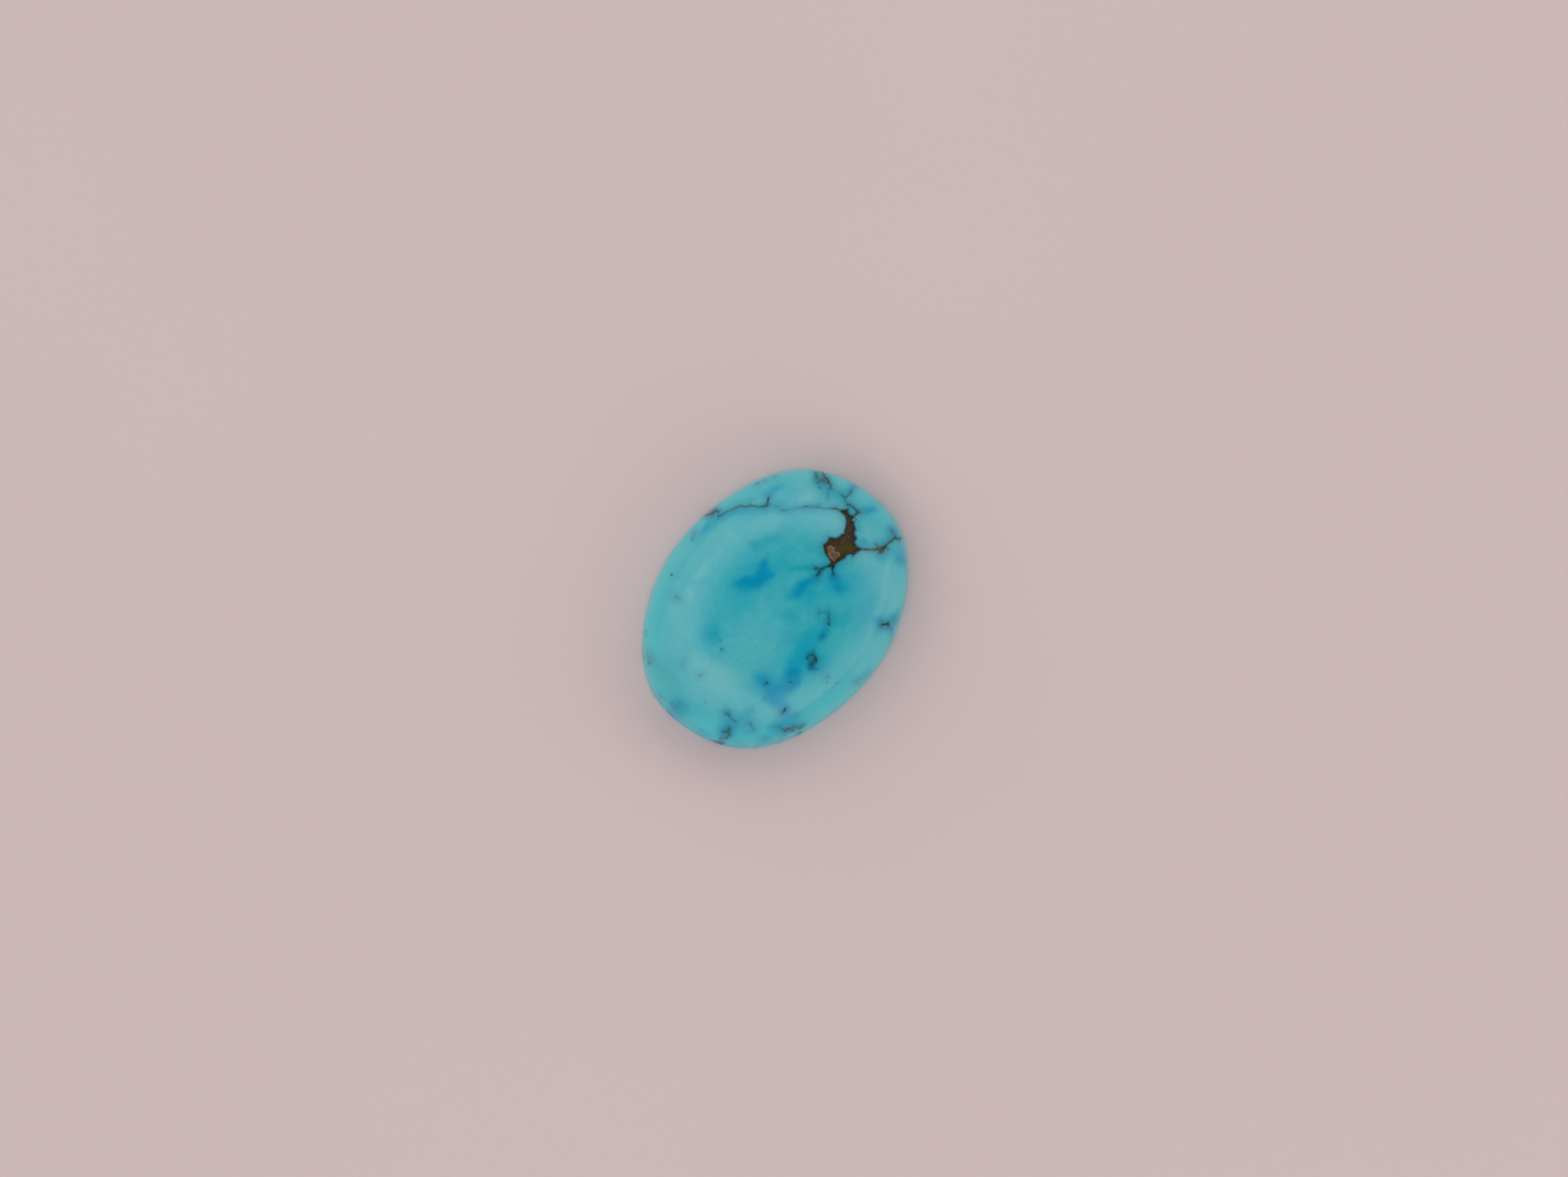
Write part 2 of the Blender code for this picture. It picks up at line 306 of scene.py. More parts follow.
# Short marks scattered over the rest of the dome
SCATTERED_VEINS = (
    Vein(Filling.LIMONITE, 0.9, ((3.38, -5.50, 0.05), (3.46, -5.53, 0.06), (3.52, -5.60, 0.05))),
    Vein(Filling.IRON, 1.0, ((3.47, -5.56, 0.02), (3.52, -5.61, 0.04), (3.60, -5.71, 0.03),
                             (3.66, -5.79, 0.06), (3.73, -5.77, 0.04))),
    Vein(Filling.LIMONITE, 0.8, ((3.66, -5.70, 0.05), (3.77, -5.70, 0.05))),
    Vein(Filling.STAIN, 0.8, ((3.60, -5.82, 0.05), (3.57, -5.95, 0.04), (3.55, -6.08, 0.05),
                              (3.60, -6.25, 0.05), (3.58, -6.40, 0.04), (3.50, -6.50, 0.05))),
    Vein(Filling.STAIN, 0.6, ((4.12, -5.80, 0.03), (4.16, -5.95, 0.03), (4.15, -6.02, 0.03))),
    Vein(Filling.STAIN, 0.75, ((1.52, -2.90, 0.05), (1.66, -2.78, 0.06), (1.80, -2.62, 0.09),
                               (1.92, -2.51, 0.09))),
    Vein(Filling.STAIN, 0.6, ((1.92, -2.51, 0.06), (1.75, -2.38, 0.05), (1.62, -2.25, 0.04),
                              (1.57, -2.12, 0.06), (1.42, -2.20, 0.05))),
    Vein(Filling.IRON, 0.4, ((0.47, -3.18, 0.02), (0.59, -3.18, 0.03), (0.72, -3.20, 0.02))),
    Vein(Filling.IRON, 0.8, ((-0.80, -3.36, 0.02), (-0.68, -3.46, 0.04), (-0.63, -3.58, 0.035),
                             (-0.64, -3.68, 0.03), (-0.71, -3.80, 0.04), (-0.82, -3.88, 0.03))),
    Vein(Filling.STAIN, 0.6, ((-1.20, -4.00, 0.05), (-1.18, -4.18, 0.05), (-1.10, -4.30, 0.04))),
    Vein(Filling.STAIN, 0.5, ((-0.66, -3.45, 0.05), (-0.50, -3.42, 0.05), (-0.36, -3.36, 0.05))),
    Vein(Filling.LIMONITE, 0.5, ((-8.02, -2.68, 0.03), (-7.91, -2.78, 0.06),
                                 (-7.82, -2.84, 0.05))),
    Vein(Filling.IRON, 0.6, ((-7.82, -2.87, 0.04), (-7.72, -2.85, 0.03), (-7.62, -2.84, 0.03),
                             (-7.54, -2.80, 0.05))),
    Vein(Filling.IRON, 0.65, ((-7.73, -2.37, 0.02), (-7.65, -2.46, 0.03), (-7.56, -2.56, 0.04))),
    Vein(Filling.LIMONITE, 0.5, ((-7.62, -2.50, 0.04), (-7.52, -2.65, 0.07),
                                 (-7.53, -2.76, 0.05))),
    Vein(Filling.IRON, 0.65, ((-7.48, -2.63, 0.03), (-7.38, -2.62, 0.04), (-7.30, -2.60, 0.06),
                              (-7.25, -2.55, 0.03))),
    Vein(Filling.STAIN, 0.9, ((-6.70, -1.80, 0.04), (-6.66, -1.93, 0.05), (-6.66, -2.03, 0.06),
                              (-6.70, -2.20, 0.05), (-6.72, -2.38, 0.02), (-6.71, -2.60, 0.05))),
    Vein(Filling.STAIN, 0.7, ((-6.66, -1.93, 0.03), (-6.56, -1.87, 0.04), (-6.50, -1.86, 0.05),
                              (-6.50, -2.05, 0.05))),
    Vein(Filling.STAIN, 0.75, ((-6.22, -3.30, 0.05), (-6.24, -3.42, 0.05), (-6.32, -3.55, 0.03),
                               (-6.37, -3.70, 0.04))),
    Vein(Filling.STAIN, 0.4, ((-6.74, -3.55, 0.02), (-6.56, -3.68, 0.03))),
    Vein(Filling.STAIN, 0.5, ((-7.72, -3.55, 0.03), (-7.66, -3.65, 0.03), (-7.61, -3.75, 0.02))),
    Vein(Filling.STAIN, 0.45, ((-5.54, -2.86, 0.03), (-5.42, -2.86, 0.03))),
    Vein(Filling.LIMONITE, 0.7, ((-5.24, -5.27, 0.04), (-5.10, -5.24, 0.08), (-5.02, -5.33, 0.08),
                                 (-4.97, -5.43, 0.06), (-4.93, -5.56, 0.08))),
    Vein(Filling.LIMONITE, 0.7, ((-4.81, -5.43, 0.03), (-4.72, -5.51, 0.04),
                                 (-4.64, -5.58, 0.04))),
    Vein(Filling.IRON, 0.6, ((-5.28, -4.95, 0.02), (-5.25, -5.10, 0.03), (-5.24, -5.24, 0.04))),
    Vein(Filling.STAIN, 0.5, ((-5.36, -4.62, 0.08), (-5.28, -4.72, 0.06), (-5.18, -4.86, 0.05))),
    Vein(Filling.IRON, 0.75, ((-4.60, -5.83, 0.04), (-4.52, -5.88, 0.06), (-4.43, -5.92, 0.06))),
    Vein(Filling.IRON, 0.8, ((-4.48, -4.38, 0.03), (-4.38, -4.37, 0.03), (-4.30, -4.38, 0.06),
                             (-4.22, -4.35, 0.05), (-4.14, -4.33, 0.03))),
    Vein(Filling.STAIN, 0.5, ((-3.95, -5.02, 0.03), (-3.99, -5.16, 0.03))),
    Vein(Filling.STAIN, 0.5, ((-6.43, -4.75, 0.02), (-6.33, -4.74, 0.03))),
    Vein(Filling.STAIN, 0.6, ((-5.54, -5.43, 0.04), (-5.45, -5.42, 0.03))),
    Vein(Filling.STAIN, 0.5, ((-7.30, 3.73, 0.02), (-7.20, 3.95, 0.03), (-7.06, 4.18, 0.02))),
    Vein(Filling.STAIN, 0.5, ((-8.56, 1.68, 0.04), (-8.50, 1.97, 0.02))),
    Vein(Filling.STAIN, 0.55, ((-8.52, 0.72, 0.03), (-8.30, 0.68, 0.04), (-8.20, 0.68, 0.03))),
    Vein(Filling.STAIN, 0.3, ((-8.10, 0.66, 0.02), (-7.95, 0.65, 0.04))),
    Vein(Filling.STAIN, 0.5, ((-6.14, 2.05, 0.04), (-6.03, 2.14, 0.02), (-5.81, 2.14, 0.03))),
    Vein(Filling.STAIN, 0.75, ((-5.96, 0.84, 0.02), (-5.88, 0.82, 0.035), (-5.83, 0.77, 0.03))),
    Vein(Filling.STAIN, 0.85, ((-3.31, 4.98, 0.045), (-3.30, 4.90, 0.03))),
    Vein(Filling.STAIN, 0.4, ((-3.28, 4.80, 0.04), (-3.22, 4.70, 0.05), (-3.15, 4.60, 0.03))),
    Vein(Filling.STAIN, 0.7, ((0.20, 6.59, 0.02), (0.29, 6.66, 0.035), (0.37, 6.71, 0.045))),
    Vein(Filling.IRON, 0.45, ((5.06, 5.78, 0.03), (5.18, 5.73, 0.03))),
    Vein(Filling.IRON, 0.5, ((5.51, 5.59, 0.03), (5.58, 5.51, 0.03))),
    Vein(Filling.IRON, 0.5, ((6.04, 5.30, 0.03), (6.12, 5.25, 0.03))),
    Vein(Filling.STAIN, 0.65, ((-1.16, -4.98, 0.04), (-1.07, -5.02, 0.06))),
    Vein(Filling.STAIN, 0.65, ((-0.21, -6.58, 0.03), (-0.19, -6.72, 0.04))),
)
VEINS = UPPER_VEINS + RIGHT_VEINS + LOWER_VEINS + SCATTERED_VEINS

SPECKS = (
    Speck((-2.48, 6.085), 0.06, 0.8), Speck((-2.33, 5.68), 0.035, 0.35),
    Speck((-0.03, 6.55), 0.045, 0.75), Speck((-7.65, 3.70), 0.05, 0.6),
    Speck((-7.43, 3.64), 0.05, 0.75), Speck((-6.11, 5.12), 0.05, 0.75),
    Speck((-6.30, 4.92), 0.045, 0.65), Speck((-5.28, 2.53), 0.04, 0.2),
    Speck((-5.15, 2.16), 0.03, 0.2), Speck((-8.37, 1.02), 0.06, 0.5),
    Speck((-8.84, 0.45), 0.05, 0.4), Speck((-6.99, -0.44), 0.035, 0.35),
    Speck((-8.50, -1.34), 0.04, 0.3), Speck((-8.13, -2.60), 0.05, 0.95),
    Speck((-4.49, -2.97), 0.04, 0.35), Speck((-3.70, -2.49), 0.07, 0.85),
    Speck((-3.82, -2.47), 0.045, 0.8), Speck((-2.74, -3.46), 0.045, 0.9),
    Speck((-2.70, -3.60), 0.04, 0.6), Speck((-3.90, 0.88), 0.055, 0.75),
    Speck((-4.00, 0.83), 0.035, 0.6), Speck((-3.57, 1.30), 0.035, 0.4),
    Speck((-3.58, 1.19), 0.03, 0.35), Speck((0.30, 0.785), 0.035, 0.35),
    Speck((-0.98, -5.69), 0.03, 0.6), Speck((-1.33, -5.71), 0.03, 0.3),
    Speck((-1.33, -5.23), 0.04, 0.3), Speck((7.33, 2.71), 0.05, 0.65),
    Speck((1.96, 6.16), 0.04, 0.6), Speck((6.98, -4.54), 0.03, 0.6),
    Speck((-0.97, -3.37), 0.055, 0.9), Speck((-0.71, -3.80), 0.065, 1.0),
    Speck((1.40, -3.04), 0.07, 0.85),
)

PATCHES = {
    Tint.PALE: (
        Patch((-5.40, 0.40), (0.80, 1.60), 5, 0.6), Patch((-3.30, 4.75), (0.30, 0.20), 0, 0.2),
        Patch((-1.20, 4.80), (0.55, 0.28), -12, 0.6), Patch((-2.60, 4.50), (0.60, 0.35), 0, 0.5),
        Patch((0.20, 4.70), (0.70, 0.30), 0, 0.35), Patch((1.70, 4.90), (0.60, 0.40), 0, 0.3),
        Patch((6.50, 2.95), (0.80, 0.45), 0, 0.7), Patch((6.30, 1.10), (0.50, 0.80), 20, 0.1),
        Patch((-3.90, 4.30), (1.20, 0.60), 20, 0.4), Patch((6.95, 3.80), (0.60, 0.40), 0, 0.5),
        Patch((6.45, -3.60), (0.70, 0.50), 40, 0.4), Patch((0.30, 1.15), (0.60, 0.40), 20, 0.2),
        Patch((1.80, 0.35), (0.60, 0.30), -20, 0.25), Patch((-4.30, 3.20), (0.90, 0.60), 0, 0.2),
        Patch((-6.00, 3.60), (0.90, 0.70), 30, 0.2), Patch((-6.90, 0.10), (0.60, 1.30), 0, 0.3),
        Patch((1.40, -6.10), (1.60, 0.55), 5, 0.55), Patch((5.20, -4.80), (1.40, 0.55), 38, 0.7),
        Patch((-1.20, 6.20), (1.80, 0.50), 0, 0.2), Patch((-4.65, -0.60), (1.50, 0.45), 104, 0.4),
        Patch((3.60, 3.70), (0.70, 0.45), -35, 0.25),
    ),
    Tint.TEAL: (
        Patch((2.60, 0.58), (0.60, 0.22), -38, 0.75), Patch((3.20, 0.15), (0.45, 0.25), -38, 0.8),
        Patch((2.20, 1.45), (0.80, 0.40), -35, 0.35), Patch((2.20, 3.35), (0.50, 0.30), -30, 0.9),
        Patch((3.05, 2.90), (0.70, 0.35), -20, 0.75), Patch((-3.50, 2.00), (0.50, 0.50), 0, 0.35),
        Patch((2.00, -1.20), (0.80, 0.80), 0, 0.45), Patch((0.20, -0.90), (0.70, 0.45), -55, 0.7),
        Patch((-0.60, -1.80), (0.90, 0.60), -30, 0.45), Patch((1.90, -3.30), (0.70, 0.45), -30, 0.5),
        Patch((2.30, -3.65), (0.45, 0.25), 0, 0.2), Patch((3.50, -4.20), (1.60, 0.60), 15, 0.7),
        Patch((4.60, -2.80), (0.90, 0.90), 0, 0.4), Patch((-0.20, -2.60), (1.20, 0.45), 0, 0.6),
        Patch((-6.20, -2.80), (0.70, 0.45), 0, 0.8), Patch((-1.50, 1.00), (1.20, 0.80), 0, 0.15),
    ),
    Tint.BLUE: (
        Patch((0.55, 2.15), (1.50, 0.90), -10, 0.65), Patch((2.20, -0.45), (1.30, 0.55), -18, 0.6),
        Patch((3.50, -1.85), (0.75, 0.85), 0, 0.65), Patch((-3.65, 1.85), (0.55, 0.60), 0, 0.6),
        Patch((-1.20, -3.10), (1.40, 0.55), 0, 0.8), Patch((0.90, -2.95), (1.00, 0.45), 0, 0.55),
        Patch((-0.80, -4.10), (0.70, 0.70), 0, 0.6), Patch((-7.40, -2.60), (0.80, 0.60), 0, 0.8),
        Patch((-6.40, -3.40), (0.60, 0.60), 0, 0.3), Patch((-6.60, -2.00), (0.35, 0.45), 0, 0.45),
        Patch((-8.30, 0.60), (0.60, 0.80), 0, 0.7), Patch((-5.40, -4.70), (0.60, 0.50), -40, 0.75),
        Patch((-4.70, -5.40), (0.90, 0.60), -30, 0.65), Patch((1.10, 6.38), (0.45, 0.32), 0, 0.95),
        Patch((1.90, 6.35), (0.60, 0.35), -20, 0.7), Patch((2.70, 5.80), (0.90, 0.30), -28, 0.55),
        Patch((3.40, 5.15), (0.80, 0.32), -50, 0.6), Patch((4.20, 4.40), (0.70, 0.35), -45, 0.55),
        Patch((5.45, 4.68), (0.70, 0.30), -18, 0.75), Patch((4.95, 3.60), (0.35, 0.70), 10, 0.5),
        Patch((5.90, 2.40), (0.80, 0.30), -50, 0.5), Patch((7.60, 2.70), (0.55, 0.70), 0, 0.5),
        Patch((7.75, 1.50), (0.50, 0.70), 0, 0.45), Patch((8.55, 1.20), (0.45, 0.28), 0, 0.8),
        Patch((7.48, 0.36), (0.26, 0.30), 0, 0.8), Patch((8.30, -0.45), (0.65, 0.33), -28, 1.0),
        Patch((7.30, -2.35), (0.90, 0.35), -10, 0.6), Patch((6.60, -2.90), (0.60, 0.35), -20, 0.6),
        Patch((7.40, -3.70), (0.45, 0.70), -30, 0.8), Patch((8.10, -2.50), (0.30, 0.50), 0, 0.9),
        Patch((4.10, -5.95), (0.75, 0.38), 20, 1.0), Patch((0.40, -6.70), (0.60, 0.30), 0, 0.6),
        Patch((6.45, -1.50), (0.50, 0.30), -50, 0.9), Patch((7.05, -0.60), (0.50, 0.22), 42, 0.5),
        Patch((1.90, -1.05), (0.45, 0.25), 0, 0.35), Patch((-8.65, -1.60), (0.35, 0.90), 10, 0.7),
    ),
    Tint.VIOLET: (
        Patch((-3.90, -2.65), (0.60, 0.80), 15, 0.6), Patch((-3.30, -3.30), (1.00, 0.50), -15, 0.7),
        Patch((-2.70, -3.75), (0.80, 0.30), -5, 0.8), Patch((-4.20, -3.55), (0.50, 0.70), 0, 0.7),
        Patch((-4.40, -4.50), (0.50, 0.50), 0, 0.7), Patch((-4.55, -5.20), (0.45, 0.60), 0, 0.35),
        Patch((3.45, -5.28), (0.42, 0.42), 0, 0.8), Patch((-6.50, -4.60), (0.60, 0.30), -35, 0.5),
    ),
    Tint.DEEP_BLUE: (
        Patch((-0.05, 2.50), (0.60, 0.35), -40, 0.9), Patch((0.35, 2.20), (0.60, 0.35), -50, 0.9),
        Patch((0.80, 1.90), (0.70, 0.35), -15, 1.0), Patch((1.50, 2.22), (0.65, 0.26), 25, 0.95),
        Patch((1.30, 1.60), (0.45, 0.24), -35, 0.8), Patch((0.05, 1.95), (0.45, 0.35), 0, 0.5),
        Patch((1.75, -0.35), (0.55, 0.32), -10, 0.9), Patch((2.45, -0.52), (0.65, 0.24), -20, 1.0),
        Patch((3.65, -1.50), (0.38, 0.40), 0, 0.85), Patch((3.40, -2.10), (0.45, 0.38), 0, 0.8),
        Patch((-2.20, -3.30), (0.55, 0.45), 0, 1.0), Patch((-3.70, -2.15), (0.45, 0.50), 0, 0.75),
        Patch((0.70, -3.12), (0.55, 0.22), -5, 0.85), Patch((-1.25, -3.85), (0.38, 0.35), 40, 0.9),
        Patch((-8.80, 0.45), (0.35, 0.55), 0, 0.5),
    ),
    Tint.STAINED: (
        Patch((7.85, 3.00), (0.38, 0.50), 0, 0.7), Patch((6.45, 2.00), (0.30, 0.10), -50, 0.3),
        Patch((-7.58, -2.60), (0.50, 0.28), 0, 0.5), Patch((-5.00, -5.40), (0.50, 0.25), -38, 0.4),
        Patch((-4.45, -5.95), (0.35, 0.20), -25, 0.7), Patch((-0.88, -3.55), (0.38, 0.32), 0, 0.55),
        Patch((3.58, -5.80), (0.20, 0.55), 0, 0.3), Patch((1.50, -2.95), (0.24, 0.20), 0, 0.2),
        Patch((-6.62, -1.92), (0.20, 0.28), 0, 0.3), Patch((3.45, -0.50), (0.38, 0.20), 0, 0.75),
        Patch((2.10, 6.62), (0.40, 0.20), -25, 0.7), Patch((6.90, -2.45), (0.45, 0.22), -10, 0.5),
        Patch((7.62, 0.05), (0.22, 0.14), 0, 0.35), Patch((4.40, 4.48), (0.35, 0.18), -30, 0.35),
        Patch((-8.30, 0.10), (0.50, 0.90), 0, 0.15), Patch((-7.30, 2.80), (0.80, 1.20), -12, 0.1),
    ),
    Tint.NAVY: (
        Patch((-0.98, -3.74), (0.30, 0.18), -12, 1.0), Patch((-1.27, -3.92), (0.20, 0.18), 40, 0.6),
        Patch((-3.72, -2.47), (0.22, 0.18), 0, 0.1), Patch((-0.66, -3.52), (0.10, 0.20), 0, 0.3),
    ),
    Tint.OCHRE: (
        Patch((-7.10, 3.70), (0.45, 0.25), 50, 0.3), Patch((1.97, 6.80), (0.22, 0.10), -20, 0.6),
        Patch((-3.57, -3.74), (0.14, 0.09), 0, 0.3), Patch((-0.68, -3.79), (0.14, 0.12), 0, 0.3),
        Patch((1.30, -3.08), (0.20, 0.12), 0, 0.3), Patch((-7.78, -2.74), (0.18, 0.12), -30, 0.2),
        Patch((7.92, 2.75), (0.16, 0.25), 0, 0.3), Patch((6.88, -2.55), (0.25, 0.18), -20, 0.7),
        Patch((-7.60, 2.00), (0.90, 2.20), -12, 0.1), Patch((3.45, -0.45), (0.35, 0.22), 0, 0.12),
    ),
}

# Outlines in millimetres, seen from above
OUTLINES = {
    Grain.MATRIX: ((
        (4.12, -0.84), (4.23, -0.75), (4.37, -0.66), (4.40, -0.47), (4.48, -0.21), (4.53, -0.05),
        (4.66, 0.06), (4.72, 0.21), (4.83, 0.285), (5.00, 0.23), (5.18, 0.23), (5.35, 0.285),
        (5.44, 0.17), (5.51, 0.04), (5.63, -0.07), (5.77, -0.12), (5.94, -0.14), (6.09, -0.23),
        (6.16, -0.27), (6.26, -0.16), (6.42, -0.085), (6.61, -0.01), (6.72, 0.10), (6.87, 0.21),
        (6.98, 0.34), (7.03, 0.49), (7.04, 0.67), (7.09, 0.785), (7.16, 0.75), (7.26, 0.66),
        (7.29, 0.49), (7.24, 0.34), (7.24, 0.19), (7.29, 0.08), (7.27, 0.01), (7.13, 0.01),
        (7.03, -0.07), (7.03, -0.18), (6.92, -0.31), (6.83, -0.44), (6.77, -0.57), (6.63, -0.60),
        (6.50, -0.68), (6.44, -0.81), (6.385, -0.94), (6.27, -0.97), (6.16, -0.97), (6.09, -1.07),
        (6.01, -1.25), (6.01, -1.38), (6.05, -1.585), (5.83, -1.51), (5.61, -1.46), (5.50, -1.42),
        (5.48, -1.29), (5.35, -1.20), (5.18, -1.14), (5.01, -1.18), (4.90, -1.12), (4.76, -1.07),
        (4.57, -1.03), (4.385, -0.97), (4.20, -0.99),
    ),),
    Grain.CRYSTAL: ((
        (4.48, -0.83), (4.45, -0.66), (4.49, -0.44), (4.55, -0.29), (4.63, -0.20), (4.74, -0.08),
        (4.81, 0.04), (4.90, 0.06), (5.00, 0.00), (5.11, -0.05), (5.09, -0.16), (5.07, -0.25),
        (5.17, -0.36), (5.03, -0.36), (5.00, -0.55), (5.07, -0.73), (5.00, -0.84), (4.87, -0.86),
        (4.76, -0.83), (4.61, -0.83),
    ),),
    Grain.OLIVE: ((
        (5.03, -0.44), (5.20, -0.42), (5.42, -0.47), (5.57, -0.585), (5.66, -0.70), (5.83, -0.77),
        (5.94, -0.92), (5.98, -1.10), (5.83, -1.18), (5.64, -1.14), (5.42, -1.05), (5.20, -0.96),
        (5.07, -0.79),
    ),),
    Grain.CHIP: (
        ((5.50, -0.38), (5.63, -0.36), (5.79, -0.49), (5.72, -0.58), (5.61, -0.55), (5.52, -0.46)),
        ((6.05, -0.44), (6.16, -0.42), (6.31, -0.58), (6.22, -0.65), (6.11, -0.58)),
    ),
}


def smooth_step(values: np.ndarray, low: float, high: float) -> np.ndarray:
    """Eases values from 0 at low to 1 at high.

    Args:
        values: the values to ease.
        low: the value that gives 0.
        high: the value that gives 1.

    Returns:
        The eased shares.
    """
    share = np.clip((values - low) / (high - low), 0, 1)
    return share * share * (3 - 2 * share)


def fade(gap: np.ndarray, reach: float) -> np.ndarray:
    """Fades from 1 without a gap to about a third where the gap is the reach."""
    return np.exp(-(np.maximum(gap, 0) / reach) ** 2)


@dataclass(frozen=True)
class Lumps:
    """Smooth noise in space, in millimetres.

    Attributes:
        height: how far it goes either way at most.
        width: the width of a lump.
        seeds: a shift for each of its directions, which sets them apart.
    """

    height: float
    width: float
    seeds: tuple[float, ...]

    def at(self, places: np.ndarray) -> np.ndarray:
        """Works out the noise at places in space.

        Args:
            places: x, y and z of each place.

        Returns:
            A column for each direction.
        """
        columns = [[noise.noise(Vector(place)) for place in places / self.width + seed]
                   for seed in self.seeds]
        return self.height * np.array(columns).T


def gaps_to_route(spots: np.ndarray, route: np.ndarray) -> np.ndarray:
    """Measures how far spots lie outside the edge of a line of stretches.

    Args:
        spots: x and y of each spot.
        route: x, y and half width of each point along the line.

    Returns:
        The gap from each spot to the line's edge, negative on the line itself.
    """
    start, step = route[:-1], np.diff(route, axis=0)
    away = spots[:, None, :] - start[None, :, :2]
    share = (away * step[:, :2]).sum(2) / (step[:, :2] ** 2).sum(1)
    share = np.clip(share, 0, 1)
    gaps = np.linalg.norm(away - share[:, :, None] * step[None, :, :2], axis=2)
    return (gaps - start[:, 2] - share * step[:, 2]).min(axis=1)


def depth_inside(spots: np.ndarray, outline: np.ndarray) -> np.ndarray:
    """Measures how deep spots lie inside a closed outline.

    Args:
        spots: x and y of each spot.
        outline: x and y of each corner.

    Returns:
        The distance from each spot to the outline, positive inside it.
    """
    closed = np.vstack([outline, outline[:1]])
    gaps = gaps_to_route(spots, np.column_stack([closed, np.zeros(len(closed))]))
    inside = np.zeros(len(spots), bool)
    for start, end in zip(closed[:-1], closed[1:]):
        spans = (start[1] > spots[:, 1]) != (end[1] > spots[:, 1])
        slope = (end[0] - start[0]) / (end[1] - start[1] or 1)
        inside ^= spans & (spots[:, 0] < start[0] + (spots[:, 1] - start[1]) * slope)
    return np.where(inside, gaps, -gaps)


@dataclass(frozen=True)
class CabochonForm:
    """The form that the stone was cut to, in millimetres and degrees.

    The surface is described on a flat disc. A point's distance from the disc's middle is
    the way along the surface from the top of the dome, over the wall and the bevel, and
    in to the middle of the back.

    Attributes:
        length: size along X.
        width: size along Y.
        height: size along Z.
        fullness: shape of the plan, where 2 is an ellipse.
        lobes: number of faint lobes left by hand grinding.
        lobe_depth: their depth as a share of the radius.
        lobe_turn: where they start, in degrees.
        bevel: radius of the rounded edge of the back.
        wall_top: height at which the dome meets the leaning wall.
        dome_sweep: how much of its quarter turn the dome makes.
        edge: length of a triangle's side on the dome and wall.
        back_edge: the same on the back.
        dome_points: number of points that draw the dome in the side view.
        bevel_points: number of points that draw the bevel in the side view.
        plan_points: number of points at which the plan is measured.
    """

    length: float
    width: float
    height: float
    fullness: float = 2.1
    lobes: int = 6
    lobe_depth: float = 0.0067
    lobe_turn: float = 228.6
    bevel: float = 0.25
    wall_top: float = 1.2
    dome_sweep: float = 84.0
    edge: float = 0.11
    back_edge: float = 0.15
    dome_points: int = 400
    bevel_points: int = 40
    plan_points: int = 3600

    @cached_property
    def side(self) -> np.ndarray:
        """Works out half the side view of a round stone of the mean size.

        Returns:
            Reach and height of its points, from the top to the middle of the back.
        """
        sweep = math.radians(self.dome_sweep)
        rise = (self.height - self.wall_top) / (1 - math.cos(sweep))
        lean = (self.wall_top - self.bevel) / (rise * math.tan(sweep))
        spread = self.mean_reach / (math.sin(sweep) + lean)
        turns = np.linspace(0, sweep, self.dome_points)
        dome = np.column_stack([spread * np.sin(turns), self.height - rise * (1 - np.cos(turns))])
        turns = np.linspace(0, math.pi / 2, self.bevel_points)
        inset = self.bevel * (1 - np.cos(turns))
        foot = np.column_stack([self.mean_reach - inset, self.bevel * (1 - np.sin(turns))])
        return np.vstack([dome, foot, [[0, 0]]])

    @property
    def mean_reach(self) -> float:
        """Radius of a round stone of the mean size."""
        return (self.length + self.width) / 4

    @cached_property
    def ways(self) -> np.ndarray:
        """Way along the surface from the top to each point of the side view."""
        steps = np.linalg.norm(np.diff(self.side, axis=0), axis=1)
        return np.concatenate([[0], np.cumsum(steps)])

    @property
    def shoulder(self) -> float:
        """Way at which the dome meets the wall."""
        return float(self.ways[self.dome_points - 1])

    @property
    def foot(self) -> float:
        """Way at which the wall meets the bevel."""
        return float(self.ways[self.dome_points])

    @property
    def back(self) -> float:
        """Way at which the bevel meets the back."""
        return float(self.ways[-2])

    def plan(self, reach: np.ndarray, angle: np.ndarray) -> np.ndarray:
        """Presses points of a round stone out to the oval plan, before it is scaled.

        Args:
            reach: each point's distance from the middle.
            angle: its direction.

        Returns:
            X and y of each point.
        """
        across = np.abs(np.cos(angle)) ** self.fullness + np.abs(np.sin(angle)) ** self.fullness
        lobed = 1 + self.lobe_depth * np.cos(self.lobes * angle - math.radians(self.lobe_turn))
        stand_out = across ** (-1 / self.fullness) * lobed - 1
        pressed = reach * (1 + stand_out * (reach / self.mean_reach) ** 2)
        return np.column_stack([pressed * np.cos(angle), pressed * np.sin(angle)])

    @cached_property
    def fit(self) -> tuple[np.ndarray, np.ndarray]:
        """Works out how the pressed plan gets its real size.

        Returns:
            Its middle, and the scale that gives it its length and width.
        """
        angle = np.linspace(0, 2 * math.pi, self.plan_points)
        outline = self.plan(np.full_like(angle, self.mean_reach), angle)
        low, high = outline.min(axis=0), outline.max(axis=0)
        return (low + high) / 2, np.array([self.length, self.width]) / (high - low)

    def surface(self, disc: np.ndarray) -> np.ndarray:
        """Lays points of the flat disc on the stone.

        Args:
            disc: x and y of each point on the disc.

        Returns:
            X, y and z of each point on the stone.
        """
        way = np.linalg.norm(disc, axis=1)
        reach = np.interp(way, self.ways, self.side[:, 0])
        middle, scale = self.fit
        flat = (self.plan(reach, np.arctan2(disc[:, 1], disc[:, 0])) - middle) * scale
        return np.column_stack([flat, np.interp(way, self.ways, self.side[:, 1])])

